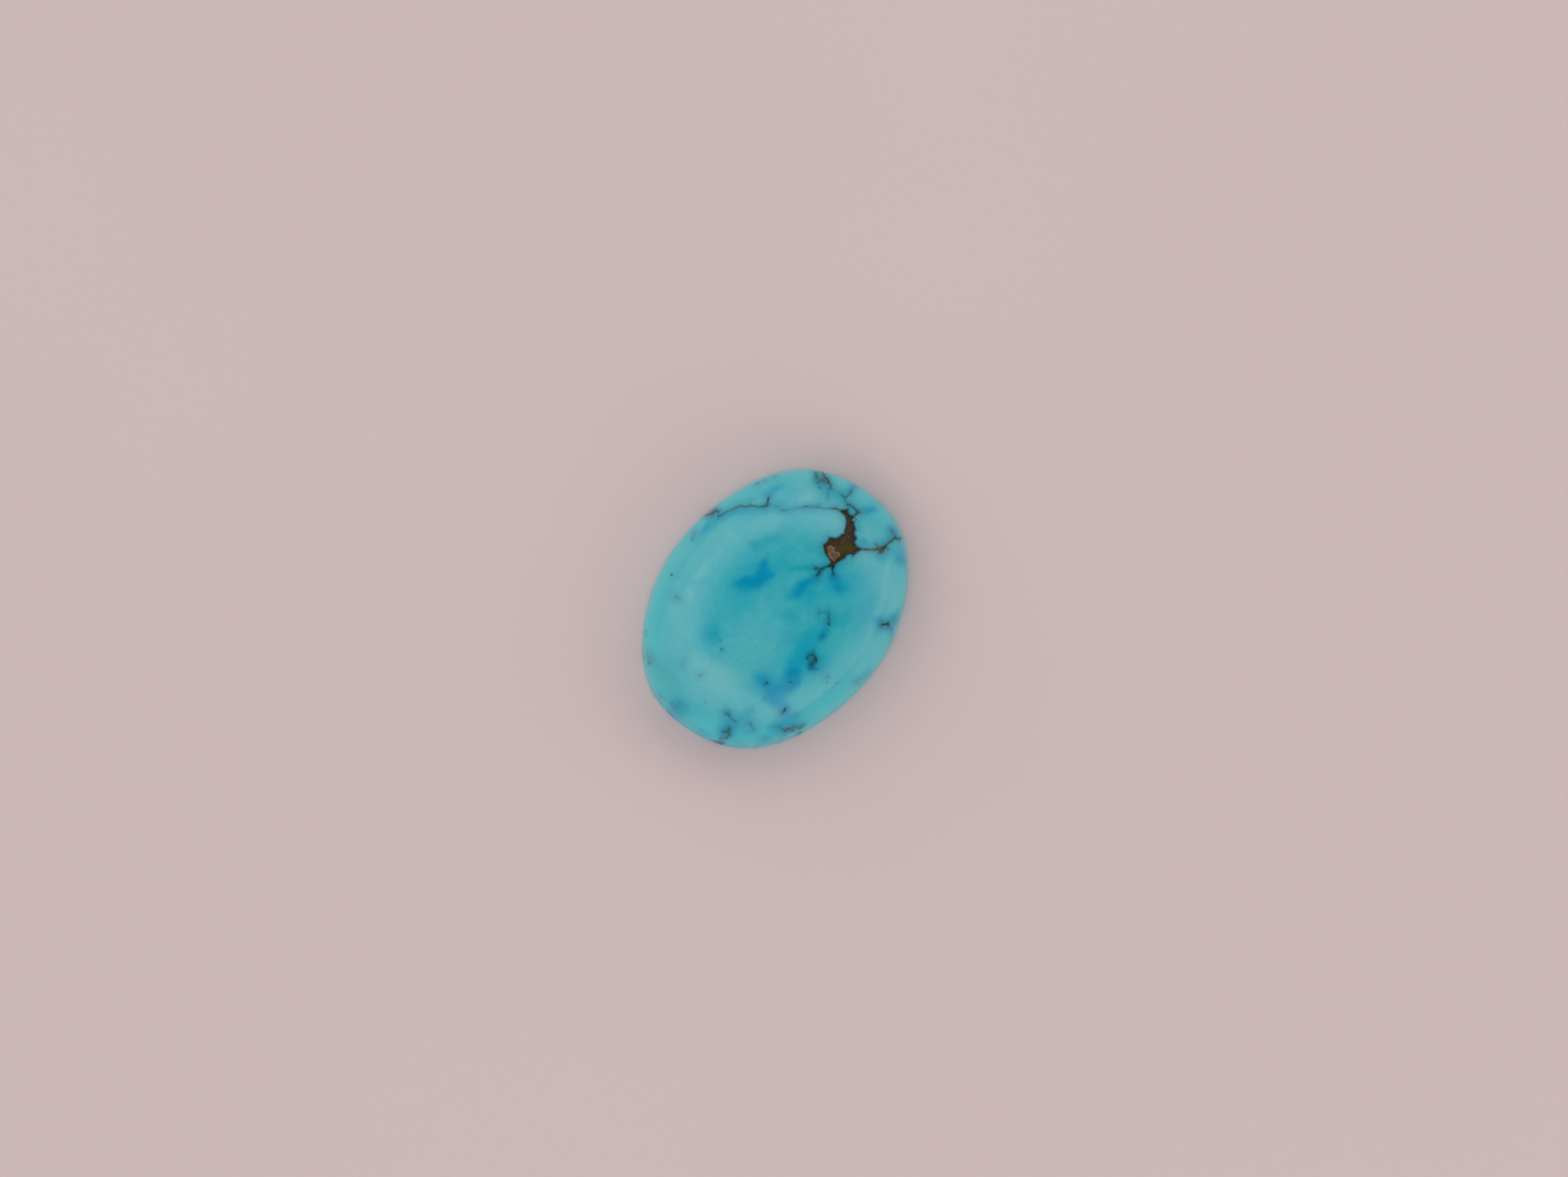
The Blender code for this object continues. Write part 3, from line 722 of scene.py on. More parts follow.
    def ring_ways(self) -> np.ndarray:
        """Spaces the rings of the mesh.

        Returns:
            The way to each ring, from the top of the dome to the middle of the back.
        """
        spans = ((0, self.foot, self.edge), (self.foot, self.back, self.edge),
                 (self.back, self.ways[-1], self.back_edge))
        parts = [np.linspace(start, end, round((end - start) / (edge * EVEN_ROW)) + 1)[1:]
                 for start, end, edge in spans]
        return np.concatenate([[0], *parts])

    def disc_mesh(self) -> tuple[np.ndarray, list[tuple[int, int, int]]]:
        """Meshes the flat disc with rings of triangles of even size.

        Returns:
            X and y of the vertices, and the triangles.
        """
        points: list[np.ndarray] = []
        faces: list[tuple[int, int, int]] = []
        inner: list[int] = []
        for way in self.ring_ways():
            reach = float(np.interp(way, self.ways, self.side[:, 0]))
            edge = self.edge if way <= self.back else self.back_edge
            count = max(6, round(2 * math.pi * reach / edge)) if reach > 0 else 1
            angle = 2 * math.pi * np.arange(count) / count
            outer = list(range(len(points), len(points) + count))
            points.extend(np.column_stack([way * np.cos(angle), way * np.sin(angle)]))
            if inner:
                faces.extend(bridge(inner, outer))
            inner = outer
        return np.array(points), faces


def bridge(inner: list[int], outer: list[int]) -> list[tuple[int, int, int]]:
    """Stitches two rings of vertices together with triangles.

    Args:
        inner: the vertices of the ring nearer the middle.
        outer: the vertices of the ring round it.

    Returns:
        The triangles, counterclockwise.
    """
    faces = []
    near, far = 0, 0
    while near < len(inner) or far < len(outer):
        outer_is_behind = (far + 1) * len(inner) <= (near + 1) * len(outer)
        if far < len(outer) and (near == len(inner) or outer_is_behind):
            faces.append((inner[near % len(inner)], outer[far], outer[(far + 1) % len(outer)]))
            far += 1
        else:
            faces.append((inner[near], outer[far % len(outer)], inner[(near + 1) % len(inner)]))
            near += 1
    return [face for face in faces if len(set(face)) == len(face)]


def flat_places(work: bmesh.types.BMesh) -> np.ndarray:
    """Numbers the vertices of a flat mesh and gives x and y of each."""
    work.verts.index_update()
    return np.array([vertex.co.to_tuple()[:2] for vertex in work.verts])


@dataclass(frozen=True)
class Markings:
    """Where the veins, patches and grains of the stone lie, in millimetres.

    Attributes:
        turn: how far the pattern is turned on the stone, in degrees.
        spread: how much smaller than the pattern the stone shows it.
        lift: how far the pattern shifts for each millimetre that the dome rises.
        slant: how far veins drift across the stone for each millimetre down.
        settle: the way past the shoulder over which the markings become the back's own.
        stray: how far the back's markings stray from those of the dome.
        ripple: how far they wind on the steep side, where they would run straight down.
        steep: where that side starts and is full, as ways past the shoulder.
        wobble: how far the edges of veins wander.
        clouds: how far whole patches wander.
        feathers: how far the edges of patches wander.
        swell: how much wider than drawn veins are.
        uneven: how much that varies along them.
        softness: how gently each filling fades at its edge.
        speck_softness: the same for a speck.
        speck_uneven: how many times more a speck's size varies than a vein's.
        patch_edge: how sharply patches end, where 2 is a plain fade.
        matrix_halo: how far from the matrix its halo has faded by two thirds.
        vein_halo: the same for a vein.
        vein_halo_share: how strong a vein's halo is against the vein.
        skirt: how far from a filled vein or speck its dark skirt has faded by two thirds.
        speck_skirt_share: how strong a speck's skirt is against the speck.
        wall: where the wall starts and is full, as ways past the shoulder.
        rim: the same for the thin rim of the stone, whose colour gets a painted glow.
        limit: how far from a vein or outline its gap is still worked out.
        fine_edge: length of a triangle's side on a vein.
        back_fine_edge: the same on the back.
        fine_band: how wide a band along a vein has such triangles.
        coarser: how much longer their sides get with each millimetre past that band.
        back_middle: how far round the back's middle its triangles stay as they are.
    """

    turn: float = 0.79
    spread: float = 1.018
    lift: tuple[float, float] = (0.081, 0.071)
    slant: tuple[float, float] = (0.35, -0.2)
    settle: float = 3.0
    stray: Lumps = Lumps(1.4, 4.5, (3.1, 27.7))
    ripple: Lumps = Lumps(0.7, 1.1, (17.9, 83.3))
    steep: tuple[float, float] = (-0.6, 0.5)
    wobble: Lumps = Lumps(0.024, 0.16, (11.3, 51.9))
    clouds: Lumps = Lumps(0.2, 0.9, (5.7, 71.3))
    feathers: Lumps = Lumps(0.07, 0.3, (9.1, 33.3))
    swell: float = 0.014
    uneven: Lumps = Lumps(0.028, 0.24, (64.9,))
    softness: tuple[tuple[Filling, float], ...] = (
        (Filling.STAIN, 0.09), (Filling.LIMONITE, 0.055), (Filling.IRON, 0.045),
    )
    speck_softness: float = 0.05
    speck_uneven: float = 1.5
    patch_edge: float = 2.6
    matrix_halo: float = 0.4
    vein_halo: float = 0.32
    vein_halo_share: float = 0.9
    skirt: float = 0.12
    speck_skirt_share: float = 0.7
    wall: tuple[float, float] = (-0.3, 0.3)
    rim: tuple[float, float] = (-2.7, -0.9)
    limit: float = 0.8
    fine_edge: float = 0.028
    back_fine_edge: float = 0.06
    fine_band: float = 0.03
    coarser: float = 0.4
    back_middle: float = 1.8

    def spots(self, form: CabochonForm, disc: np.ndarray) -> np.ndarray:
        """Finds which place in the pattern each point of the stone shows.

        Args:
            form: the stone's form.
            disc: x and y of each point on the form's disc.

        Returns:
            X and y in the pattern.
        """
        places = form.surface(disc)
        past = np.linalg.norm(disc, axis=1)[:, None] - form.shoulder
        settled = 1 - np.exp(-np.maximum(past, 0) / self.settle)
        drift = self.settle * settled * np.array(self.slant)
        astray = settled * self.stray.at(places)
        astray += smooth_step(past, *self.steep) * self.ripple.at(places)
        cosine, sine = math.cos(math.radians(self.turn)), math.sin(math.radians(self.turn))
        placed = places[:, :2] @ np.array([[cosine, sine], [-sine, cosine]]) * self.spread
        placed += places[:, 2:] * np.array(self.lift)
        return placed + drift + astray + self.wobble.at(places)

    def near(self, spots: np.ndarray, points: np.ndarray) -> np.ndarray:
        """Picks the spots that lie close enough to some points to be worth measuring."""
        low, high = points[:, :2].min(axis=0) - self.limit, points[:, :2].max(axis=0) + self.limit
        return ((spots > low) & (spots < high)).all(axis=1).nonzero()[0]

    def vein_gap(self, spots: np.ndarray, vein: Vein) -> np.ndarray:
        """Measures the gap from each spot to a vein's edge.

        Args:
            spots: x and y of each spot.
            vein: the vein.

        Returns:
            The gap, negative on the vein and no greater than the limit.
        """
        route = np.array(vein.route)
        gaps = np.full(len(spots), self.limit)
        chosen = self.near(spots, route)
        gaps[chosen] = np.minimum(gaps_to_route(spots[chosen], route), self.limit)
        return gaps

    def grain_depth(self, spots: np.ndarray, grain: Grain) -> np.ndarray:
        """Measures how deep each spot lies inside the outlines of a grain.

        Args:
            spots: x and y of each spot.
            grain: which outlines to measure.

        Returns:
            The depth, positive inside and no lower than minus the limit.
        """
        depths = np.full(len(spots), -self.limit)
        for outline in OUTLINES[grain]:
            corners = np.array(outline)
            chosen = self.near(spots, corners)
            depths[chosen] = np.maximum(depths[chosen], depth_inside(spots[chosen], corners))
        return np.maximum(depths, -self.limit)

    def speck_gap(self, spots: np.ndarray, speck: Speck) -> np.ndarray:
        """Measures the gap from each spot to a speck's edge."""
        return np.linalg.norm(spots - np.array(speck.centre), axis=1) - speck.radius

    def wanted_edges(self, form: CabochonForm, disc: np.ndarray) -> np.ndarray:
        """Works out how fine the mesh should be at points of the disc.

        Args:
            form: the stone's form.
            disc: x and y of each point on the form's disc.

        Returns:
            The length of a triangle's side at each point.
        """
        spots = self.spots(form, disc)
        gaps = [self.vein_gap(spots, vein) for vein in VEINS]
        gaps += [self.speck_gap(spots, speck) for speck in SPECKS]
        gaps += [-self.grain_depth(spots, Grain.MATRIX)]
        past_band = np.maximum(np.min(gaps, axis=0) - self.fine_band, 0)
        wanted = self.fine_edge + self.coarser * past_band
        way = np.linalg.norm(disc, axis=1)
        on_back = way > form.foot
        coarsest = np.where(on_back, form.back_edge, form.edge)
        wanted = np.where(on_back, np.maximum(wanted, self.back_fine_edge), wanted)
        # Round the middle of the back the disc is stretched too much for its edges to be halved
        return np.where(way > form.ways[-1] - self.back_middle, np.inf,
                        np.minimum(wanted, coarsest))

    def layers(self, form: CabochonForm, disc: np.ndarray) -> dict[str, np.ndarray]:
        """Works out the stone's markings at points of the disc.

        Args:
            form: the stone's form.
            disc: x and y of each point on the form's disc.

        Returns:
            A value at each point for each kind of marking: depths inside outlines in
            millimetres, and shares from 0 to 1 for all the others.
        """
        spots = self.spots(form, disc)
        uneven = self.uneven.at(form.surface(disc))[:, 0]
        softness = dict(self.softness)
        made = {grain.value: self.grain_depth(spots, grain) for grain in Grain}
        made["halo"] = fade(-made["matrix"], self.matrix_halo)
        for name in ("skirt", "speck", *(filling.value for filling in Filling)):
            made[name] = np.zeros(len(spots))

        def add(name: str, share: np.ndarray) -> None:
            """Adds to a marking wherever the new share is the greater."""
            made[name] = np.maximum(made[name], share)

        for vein in VEINS:
            gap = self.vein_gap(spots, vein) - self.swell - uneven
            soft = softness[vein.filling]
            add(vein.filling.value, vein.strength * smooth_step(-gap, -soft, soft))
            add("halo", self.vein_halo_share * vein.strength * fade(gap, self.vein_halo))
            if vein.filling is not Filling.STAIN:
                add("skirt", vein.strength * fade(gap, self.skirt))
        for speck in SPECKS:
            gap = self.speck_gap(spots, speck) - self.speck_uneven * uneven
            soft = self.speck_softness
            add("speck", speck.strength * smooth_step(-gap, -soft, soft))
            add("skirt", self.speck_skirt_share * speck.strength * fade(gap, self.skirt))
        made.update(self.tints(form, disc, spots))
        past = np.linalg.norm(disc, axis=1) - form.shoulder
        made["ground"] = smooth_step(past, form.foot - form.shoulder, form.back - form.shoulder)
        made["wall"] = smooth_step(past, *self.wall)
        # Mask of the thin rim, where the colour gets a painted glow
        made["edge"] = smooth_step(past, *self.rim) * (1 - made["ground"])
        return made

    def tints(self, form: CabochonForm, disc: np.ndarray,
              spots: np.ndarray) -> dict[str, np.ndarray]:
        """Works out how much of each soft tint points of the disc have.

        Args:
            form: the stone's form.
            disc: x and y of each point on the form's disc.
            spots: the places in the pattern that they show.

        Returns:
            A share from 0 to 1 at each point for each tint.
        """
        places = form.surface(disc)
        drifted = spots + self.clouds.at(places) + self.feathers.at(places)
        made = {}
        for tint, patches in PATCHES.items():
            bare = np.ones(len(spots))
            for patch in patches:
                turn = math.radians(patch.turn)
                away = drifted - np.array(patch.centre)
                along = away[:, 0] * math.cos(turn) + away[:, 1] * math.sin(turn)
                across = away[:, 1] * math.cos(turn) - away[:, 0] * math.sin(turn)
                spread = np.hypot(along / patch.radii[0], across / patch.radii[1])
                bare *= 1 - patch.strength * np.exp(-spread ** self.patch_edge)
            made[tint.value] = 1 - bare
        return made


@dataclass(frozen=True)
class Relief:
    """How far each marking stands above or below the polished dome, in millimetres.

    Attributes:
        matrix: the brown matrix, which is softer and was worn down by polishing.
        grit: the matrix's own grains.
        clods: the coarser ones among them.
        crystal: how far the pale crystal stands out of the matrix.
        crystal_smooth: what share of the grains the crystal lacks.
        cleavage: height of the steps in the crystal.
        cleavage_width: width of the flat faces between them.
        cleavage_jump: how far the faces are offset, against how much they tilt.
        cleavage_seeds: what sets their tilts and offsets apart.
        olive: how far the olive grain stands out of the matrix.
        chip: how far the chips of turquoise stand out of the matrix.
        banks: the depths inside each outline between which the ground rises or falls.
        limonite: limonite veins.
        iron: iron oxide veins.
        speck: pinholes.
        wave: the slow waves that hand polishing leaves.
        grain: the finer waves that the stone's uneven hardness leaves.
    """

    matrix: float = -0.075
    grit: Lumps = Lumps(0.014, 0.11, (61.2,))
    clods: Lumps = Lumps(0.0098, 0.28, (7.4,))
    crystal: float = 0.062
    crystal_smooth: float = 0.7
    cleavage: float = 0.018
    cleavage_width: float = 0.19
    cleavage_jump: float = 0.6
    cleavage_seeds: tuple[float, float] = (7.0, 5.0)
    olive: float = 0.038
    chip: float = 0.05
    banks: tuple[tuple[Grain, float, float], ...] = (
        (Grain.MATRIX, -0.035, 0.045), (Grain.CRYSTAL, -0.03, 0.03),
        (Grain.OLIVE, -0.04, 0.04), (Grain.CHIP, -0.03, 0.02),
    )
    limonite: float = -0.015
    iron: float = -0.008
    speck: float = -0.015
    wave: Lumps = Lumps(0.007, 2.6, (19.1,))
    grain: Lumps = Lumps(0.0008, 0.35, (43.7,))

    def heights(self, places: np.ndarray, layers: dict[str, np.ndarray]) -> np.ndarray:
        """Works out how far each point moves along its normal.

        Args:
            places: x, y and z of each point.
            layers: the markings at each point.

        Returns:
            The height of each point above the polished dome.
        """
        matrix, crystal, olive, chip = (smooth_step(layers[grain.value], low, high)
                                        for grain, low, high in self.banks)
        waves, grains, grit, clods = (lumps.at(places)[:, 0] for lumps in
                                      (self.wave, self.grain, self.grit, self.clods))
        rough = self.matrix + (grit + clods) * (1 - self.crystal_smooth * crystal)
        raised = self.crystal + self.cleavage * self.steps(places, crystal)
        caught = self.olive * olive + self.chip * chip
        hollow = np.minimum(self.iron * layers["iron"], self.speck * layers["speck"])
        hollow += self.limonite * layers["limonite"]
        patch = rough + crystal * raised + (1 - crystal) * caught
        height = waves + grains + matrix * patch + (1 - matrix) * hollow
        return height * (1 - layers["wall"])

    def steps(self, places: np.ndarray, crystal: np.ndarray) -> np.ndarray:
        """Works out the crystal's small flat cleavage faces.

        Args:
            places: x, y and z of each point.
            crystal: how much of each point is crystal.

        Returns:
            A height from about -1 to 1 for each point of the crystal, and 0 elsewhere.
        """
        made = np.zeros(len(places))
        tilt_seed, jump_seed = self.cleavage_seeds
        for index in np.flatnonzero(crystal > 0):
            place = Vector(places[index]) / self.cleavage_width
            middle = noise.voronoi(place)[1][0]
            tilt = noise.cell_vector(middle * tilt_seed)
            jump = self.cleavage_jump * (noise.cell(middle * jump_seed) - 0.5)
            made[index] = (place - middle).dot(tilt) + jump
        return made


@dataclass(frozen=True)
class StoneNodes:
    """What the colour, roughness and bump of the stone are worked out from.

    Attributes:
        tree: the material's nodes.
        where: the place in millimetres.
        layers: the markings, by name.
        noises: the noises, by name.
        fringe: how close to the matrix or how far inside it the surface is.
    """

    tree: bpy.types.NodeTree
    where: bpy.types.NodeSocket
    layers: dict[str, bpy.types.NodeSocket]
    noises: dict[str, bpy.types.NodeSocket]
    fringe: bpy.types.NodeSocket


@dataclass(frozen=True)
class PolishedTurquoise:
    """Turquoise, ground to shape and polished: an even blue with a waxy to glassy shine.

    Polish closes the surface, so the dome mirrors its surroundings softly and its colour
    looks deep. The back is only ground, so it is matte.

    Attributes:
        ior: refractive index of turquoise.
        shine: what fine pores leave of the shine that this index gives, where 0.5 is all.
        body: its commonest blue.
        body_green: the greener parts of its slow colour change.
        body_light: the paler grains in it.
        body_deep: its deeper blotches.
        tints: the colour of each soft patch.
        edge: painted light on the thin rim of the stone, a lighter colour that stands in for
        the light shining through its thin edge.
        halo: the bluer turquoise along veins and matrix.
        fringe: the dark edge that iron gave the turquoise where it meets the matrix.
        fringe_width: how far from the matrix that edge starts, in millimetres.
        skirt: the same along filled cracks and round specks.
        stain: cracks that iron only tinted.
        iron: cracks filled with iron oxide.
        limonite: cracks filled with limonite.
        matrix: the brown matrix.
        matrix_red: its redder grains.
        matrix_dark: its darkest grains and its outline.
        olive: the olive grain.
        chip: the grey green chips of turquoise caught in the matrix.
        crystal: the pale crystal.
        crystal_pale_and_glint: its paler parts and whitish rim; the rim is partly its own colour
        and partly a painted highlight along the crystal's edge.
        crystal_core: its reddish core.
        speck: pinholes and dark grains.
        dullness: what the matrix leaves of the shine.
        dulled: how much of that each marking has. Matrix and fillings are porous and stay
            dull under polish. The bluer turquoise and the thin rim are a little duller
            too, which keeps them deep.
        polish: the least and the greatest roughness of the polished turquoise.
        roughened: the roughness of each marking.
        widths: width in millimetres and detail of each noise. The clouds are the slow
            colour change, and the flecks are the paler grains, which are really finer.
        noise_grain: how much of each noise its finer parts make up.
        marks_depth: depth of the finest polishing marks and scratches, in millimetres.
        polish_marks: how deep the marks on the dome are, as a share of the scratches.
        scratch_turn: direction of the scratches on the back, in degrees.
        scratch_scale: how many of them fit in a millimetre along and across them.
    """

    ior: float = 1.61
    shine: float = 0.4
    body: str = "3AB9CB"
    body_green: str = "40B8C1"
    body_light: str = "58C4D2"
    body_deep: str = "1EB3CA"
    tints: tuple[tuple[Tint, str, float], ...] = (
        (Tint.PALE, "72C8D3", 0.8), (Tint.TEAL, "00A8C4", 0.95), (Tint.BLUE, "00A7C9", 1.0),
        (Tint.VIOLET, "0096C8", 1.0), (Tint.DEEP_BLUE, "0098C6", 1.0),
        (Tint.STAINED, "006672", 1.0), (Tint.NAVY, "003668", 1.0), (Tint.OCHRE, "6E6E3A", 0.8),
    )
    edge: str = "49C8D3"
    halo: str = "208EAC"
    fringe: str = "04505A"
    fringe_width: float = 0.16
    skirt: str = "065A64"
    stain: str = "04628A"
    iron: str = "062A26"
    limonite: str = "48472A"
    matrix: str = "3F3021"
    matrix_red: str = "583B2B"
    matrix_dark: str = "26221A"
    olive: str = "45471C"
    chip: str = "3A5046"
    crystal: str = "664C3C"
    crystal_pale_and_glint: str = "8A7868"
    crystal_core: str = "5C3C2E"
    speck: str = "08161A"
    dullness: str = "707070"
    dulled: tuple[tuple[str, float], ...] = (
        ("stain", 1.0), ("limonite", 1.0), ("iron", 1.0), ("speck", 1.0), ("iron_stained", 0.8),
        ("violet_blue", 0.5), ("blue", 0.7), ("deep_blue", 0.6), ("teal", 0.3), ("edge", 0.5),
    )
    polish: tuple[float, float] = (0.1, 0.17)
    roughened: tuple[tuple[str, float], ...] = (
        ("edge", 0.3), ("limonite", 0.4), ("iron", 0.3), ("speck", 0.4), ("fringe", 0.6),
        ("ground", 0.55),
    )
    widths: tuple[tuple[str, float, float], ...] = (
        ("cloud", 3.5, 2.0), ("mottle", 0.9, 4.0), ("lump", 0.35, 3.0), ("fleck", 0.16, 3.0),
        ("grit", 0.07, 2.0),
    )
    noise_grain: float = 0.55
    marks_depth: float = 0.01
    polish_marks: float = 0.05
    scratch_turn: float = 35.0
    scratch_scale: tuple[float, float] = (0.6, 22.0)

    def material(self) -> bpy.types.Material:
        """Makes the node material.

        Returns:
            The material.
        """
        made = bpy.data.materials.new("turquoise_ground_and_polished")
        nodes = self.nodes(bare_tree(made))
        colour = add_node(nodes.tree, "ShaderNodeMix", {
            "Factor_Float": self.inside(nodes, "matrix", "grit", 0.08, 0.03),
            "A_Color": self.turquoise_colour(nodes),
            "B_Color": self.matrix_colour(nodes),
        }, "Result_Color", data_type="RGBA")
        shader = add_node(nodes.tree, "ShaderNodeBsdfPrincipled", {
            "Base Color": colour, "Roughness": self.roughness(nodes), "IOR": self.ior,
            "Metallic": 0.0, "Specular IOR Level": self.shine,
            "Specular Tint": self.mirrored(nodes), "Normal": self.fine_bump(nodes),
        })
        add_node(nodes.tree, "ShaderNodeOutputMaterial", {"Surface": shader})
        made.diffuse_color = linear(self.body)
        return made

    def nodes(self, tree: bpy.types.NodeTree) -> StoneNodes:
        """Adds the nodes that give the place, the markings and the noises.

        Args:
            tree: the material's nodes.

        Returns:
            Their sockets.
        """
        where = add_node(tree, "ShaderNodeVectorMath", {
            0: add_node(tree, "ShaderNodeTexCoord", output="Object"),
            1: (1 / MM, 1 / MM, 1 / MM),
        }, operation="MULTIPLY")
        layers = {name: add_node(tree, "ShaderNodeAttribute", output="Fac", attribute_name=name)
                  for name in LAYER_NAMES}
        noises = {
            name: add_node(tree, "ShaderNodeTexNoise", {
                "Vector": where, "Scale": 1 / width, "Detail": detail,
                "Roughness": self.noise_grain,
            }, "Fac")
            for name, width, detail in self.widths
        }
        fringe = add_node(tree, "ShaderNodeMapRange", {
            "Value": layers["matrix"], "From Min": -self.fringe_width, "From Max": 0.0,
        }, interpolation_type="SMOOTHSTEP")
        return StoneNodes(tree, where, layers, noises, fringe)

    def mirrored(self, nodes: StoneNodes) -> bpy.types.NodeSocket:
        """Makes the colour of the shine, which is darker where a marking is dull.

        Args:
            nodes: the sockets to work from.

        Returns:
            The colour.
        """
        dull = nodes.fringe
        for name, most in self.dulled:
            share = add_node(nodes.tree, "ShaderNodeMath", {0: nodes.layers[name], 1: most},
                             operation="MULTIPLY")
            dull = add_node(nodes.tree, "ShaderNodeMath", {0: dull, 1: share},
                            operation="MAXIMUM")
        return self.lay(nodes.tree, linear("FFFFFF"), [(self.dullness, dull, 1.0)])

    def inside(self, nodes: StoneNodes, layer: str, lumps: str, rag: float,
               soft: float) -> bpy.types.NodeSocket:
        """Turns a depth inside an outline into a share, with a ragged edge.

        Args:
            nodes: the sockets to work from.
            layer: the depth's name.
            lumps: the name of the noise that makes the edge ragged.
            rag: how far the edge wanders in millimetres.
            soft: how wide the edge is in millimetres.

        Returns:
            The share.
        """
        ragged = add_node(nodes.tree, "ShaderNodeMath", {
            0: nodes.noises[lumps], 1: rag, 2: nodes.layers[layer],
        }, operation="MULTIPLY_ADD")
        return add_node(nodes.tree, "ShaderNodeMapRange", {
            "Value": ragged, "From Min": rag / 2 - soft, "From Max": rag / 2 + soft,
        }, interpolation_type="SMOOTHSTEP")

    def lay(self, tree: bpy.types.NodeTree, colour: bpy.types.NodeSocket | tuple,
            coats: list[tuple[str, bpy.types.NodeSocket, float]]) -> bpy.types.NodeSocket:
        """Lays colours over each other.

        Args:
            tree: the material's nodes.
            colour: the lowest colour.
            coats: each further colour, where it shows, and how much of it shows there.

        Returns:
            The colour on top.
        """
        for hex_colour, share, most in coats:
            share = add_node(tree, "ShaderNodeMath", {0: share, 1: most}, operation="MULTIPLY",
                             use_clamp=True)
            colour = add_node(tree, "ShaderNodeMix", {
                "Factor_Float": share, "A_Color": colour, "B_Color": linear(hex_colour),
            }, "Result_Color", data_type="RGBA")
        return colour

    def turquoise_colour(self, nodes: StoneNodes) -> bpy.types.NodeSocket:
        """Makes the colour of the turquoise with its patches, veins and specks.

        Args:
            nodes: the sockets to work from.

        Returns:
            The colour.
        """
        layers = nodes.layers
        green, light, wisp, blotch, uneven = (
            add_node(nodes.tree, "ShaderNodeMapRange", {
                "Value": nodes.noises[name], "From Min": low, "From Max": high,
                "To Min": least,
            }, interpolation_type="SMOOTHSTEP")
            for name, low, high, least in (("cloud", 0.42, 0.62, 0.0), ("fleck", 0.45, 0.75, 0.0),
                                           ("lump", 0.4, 0.7, 0.0), ("mottle", 0.46, 0.62, 0.0),
                                           ("lump", 0.35, 0.6, 0.6))
        )
        stain, limonite, iron, fringe = (
            add_node(nodes.tree, "ShaderNodeMath", {0: share, 1: uneven}, operation="MULTIPLY")
            for share in (layers["stain"], layers["limonite"], layers["iron"], nodes.fringe)
        )
        # The rim's lighter colour is painted light, standing in for light shining through the
        # stone's thin edge
        coats = [(self.body_green, green, 0.35), (self.body_light, light, 0.35),
                 (self.body_light, wisp, 0.3), (self.body_deep, blotch, 0.35),
                 (self.edge, layers["edge"], 0.8)]
        coats += [(hex_colour, layers[tint.value], most) for tint, hex_colour, most in self.tints]
        coats += [
            (self.halo, layers["halo"], 0.6), (self.fringe, fringe, 0.85),
            (self.skirt, layers["skirt"], 0.32), (self.stain, stain, 0.75),
            (self.limonite, limonite, 0.95), (self.iron, iron, 0.95),
            (self.speck, layers["speck"], 0.9),
        ]
        return self.lay(nodes.tree, linear(self.body), coats)

    def matrix_colour(self, nodes: StoneNodes) -> bpy.types.NodeSocket:
        """Makes the colour of the matrix with its crystal, olive grain and chips.

        Args:
            nodes: the sockets to work from.

        Returns:
            The colour.
        """
        layers, noises = nodes.layers, nodes.noises
        shares = {
            name: add_node(nodes.tree, "ShaderNodeMapRange", {
                "Value": source, "From Min": low, "From Max": high,
            }, interpolation_type="SMOOTHSTEP")
            for name, source, low, high in (
                ("red", noises["lump"], 0.42, 0.6), ("dark", noises["fleck"], 0.48, 0.36),
                ("edge", layers["matrix"], 0.08, 0.0), ("core", layers["crystal"], 0.1, 0.26),
                ("pale", noises["fleck"], 0.55, 0.42))
        }
        # The whitish rim round the crystal is partly its own colour and partly a painted highlight
        # along its edge
        rim = self.inside(nodes, "crystal", "fleck", 1.0, 0.06)
        crystal = self.lay(nodes.tree, linear(self.crystal_pale_and_glint), [
            (self.crystal, rim, 0.85), (self.crystal_core, shares["core"], 0.8),
            (self.crystal_pale_and_glint, shares["pale"], 0.5),
        ])
        colour = self.lay(nodes.tree, linear(self.matrix), [
            (self.matrix_red, shares["red"], 0.85), (self.matrix_dark, shares["edge"], 0.8),
            (self.olive, self.inside(nodes, "olive", "lump", 0.5, 0.12), 0.9),
            (self.chip, self.inside(nodes, "chip", "grit", 0.08, 0.05), 0.9),
            (self.matrix_dark, shares["dark"], 0.5),
        ])
        return add_node(nodes.tree, "ShaderNodeMix", {
            "Factor_Float": self.inside(nodes, "crystal", "grit", 0.14, 0.03),
            "A_Color": colour, "B_Color": crystal,
        }, "Result_Color", data_type="RGBA")

    def roughness(self, nodes: StoneNodes) -> bpy.types.NodeSocket:
        """Makes the roughness: polished dome, duller rim and matrix, and matte back.

        Args:
            nodes: the sockets to work from.

        Returns:
            The roughness.
        """
        least, greatest = self.polish
        rough = add_node(nodes.tree, "ShaderNodeMapRange", {
            "Value": nodes.noises["mottle"], "To Min": least, "To Max": greatest,
        })
        shares = {**nodes.layers, "fringe": nodes.fringe}
        for name, level in self.roughened:
            rough = add_node(nodes.tree, "ShaderNodeMix", {
                "Factor_Float": shares[name], "A_Float": rough, "B_Float": level,
            }, "Result_Float", data_type="FLOAT")
        return rough

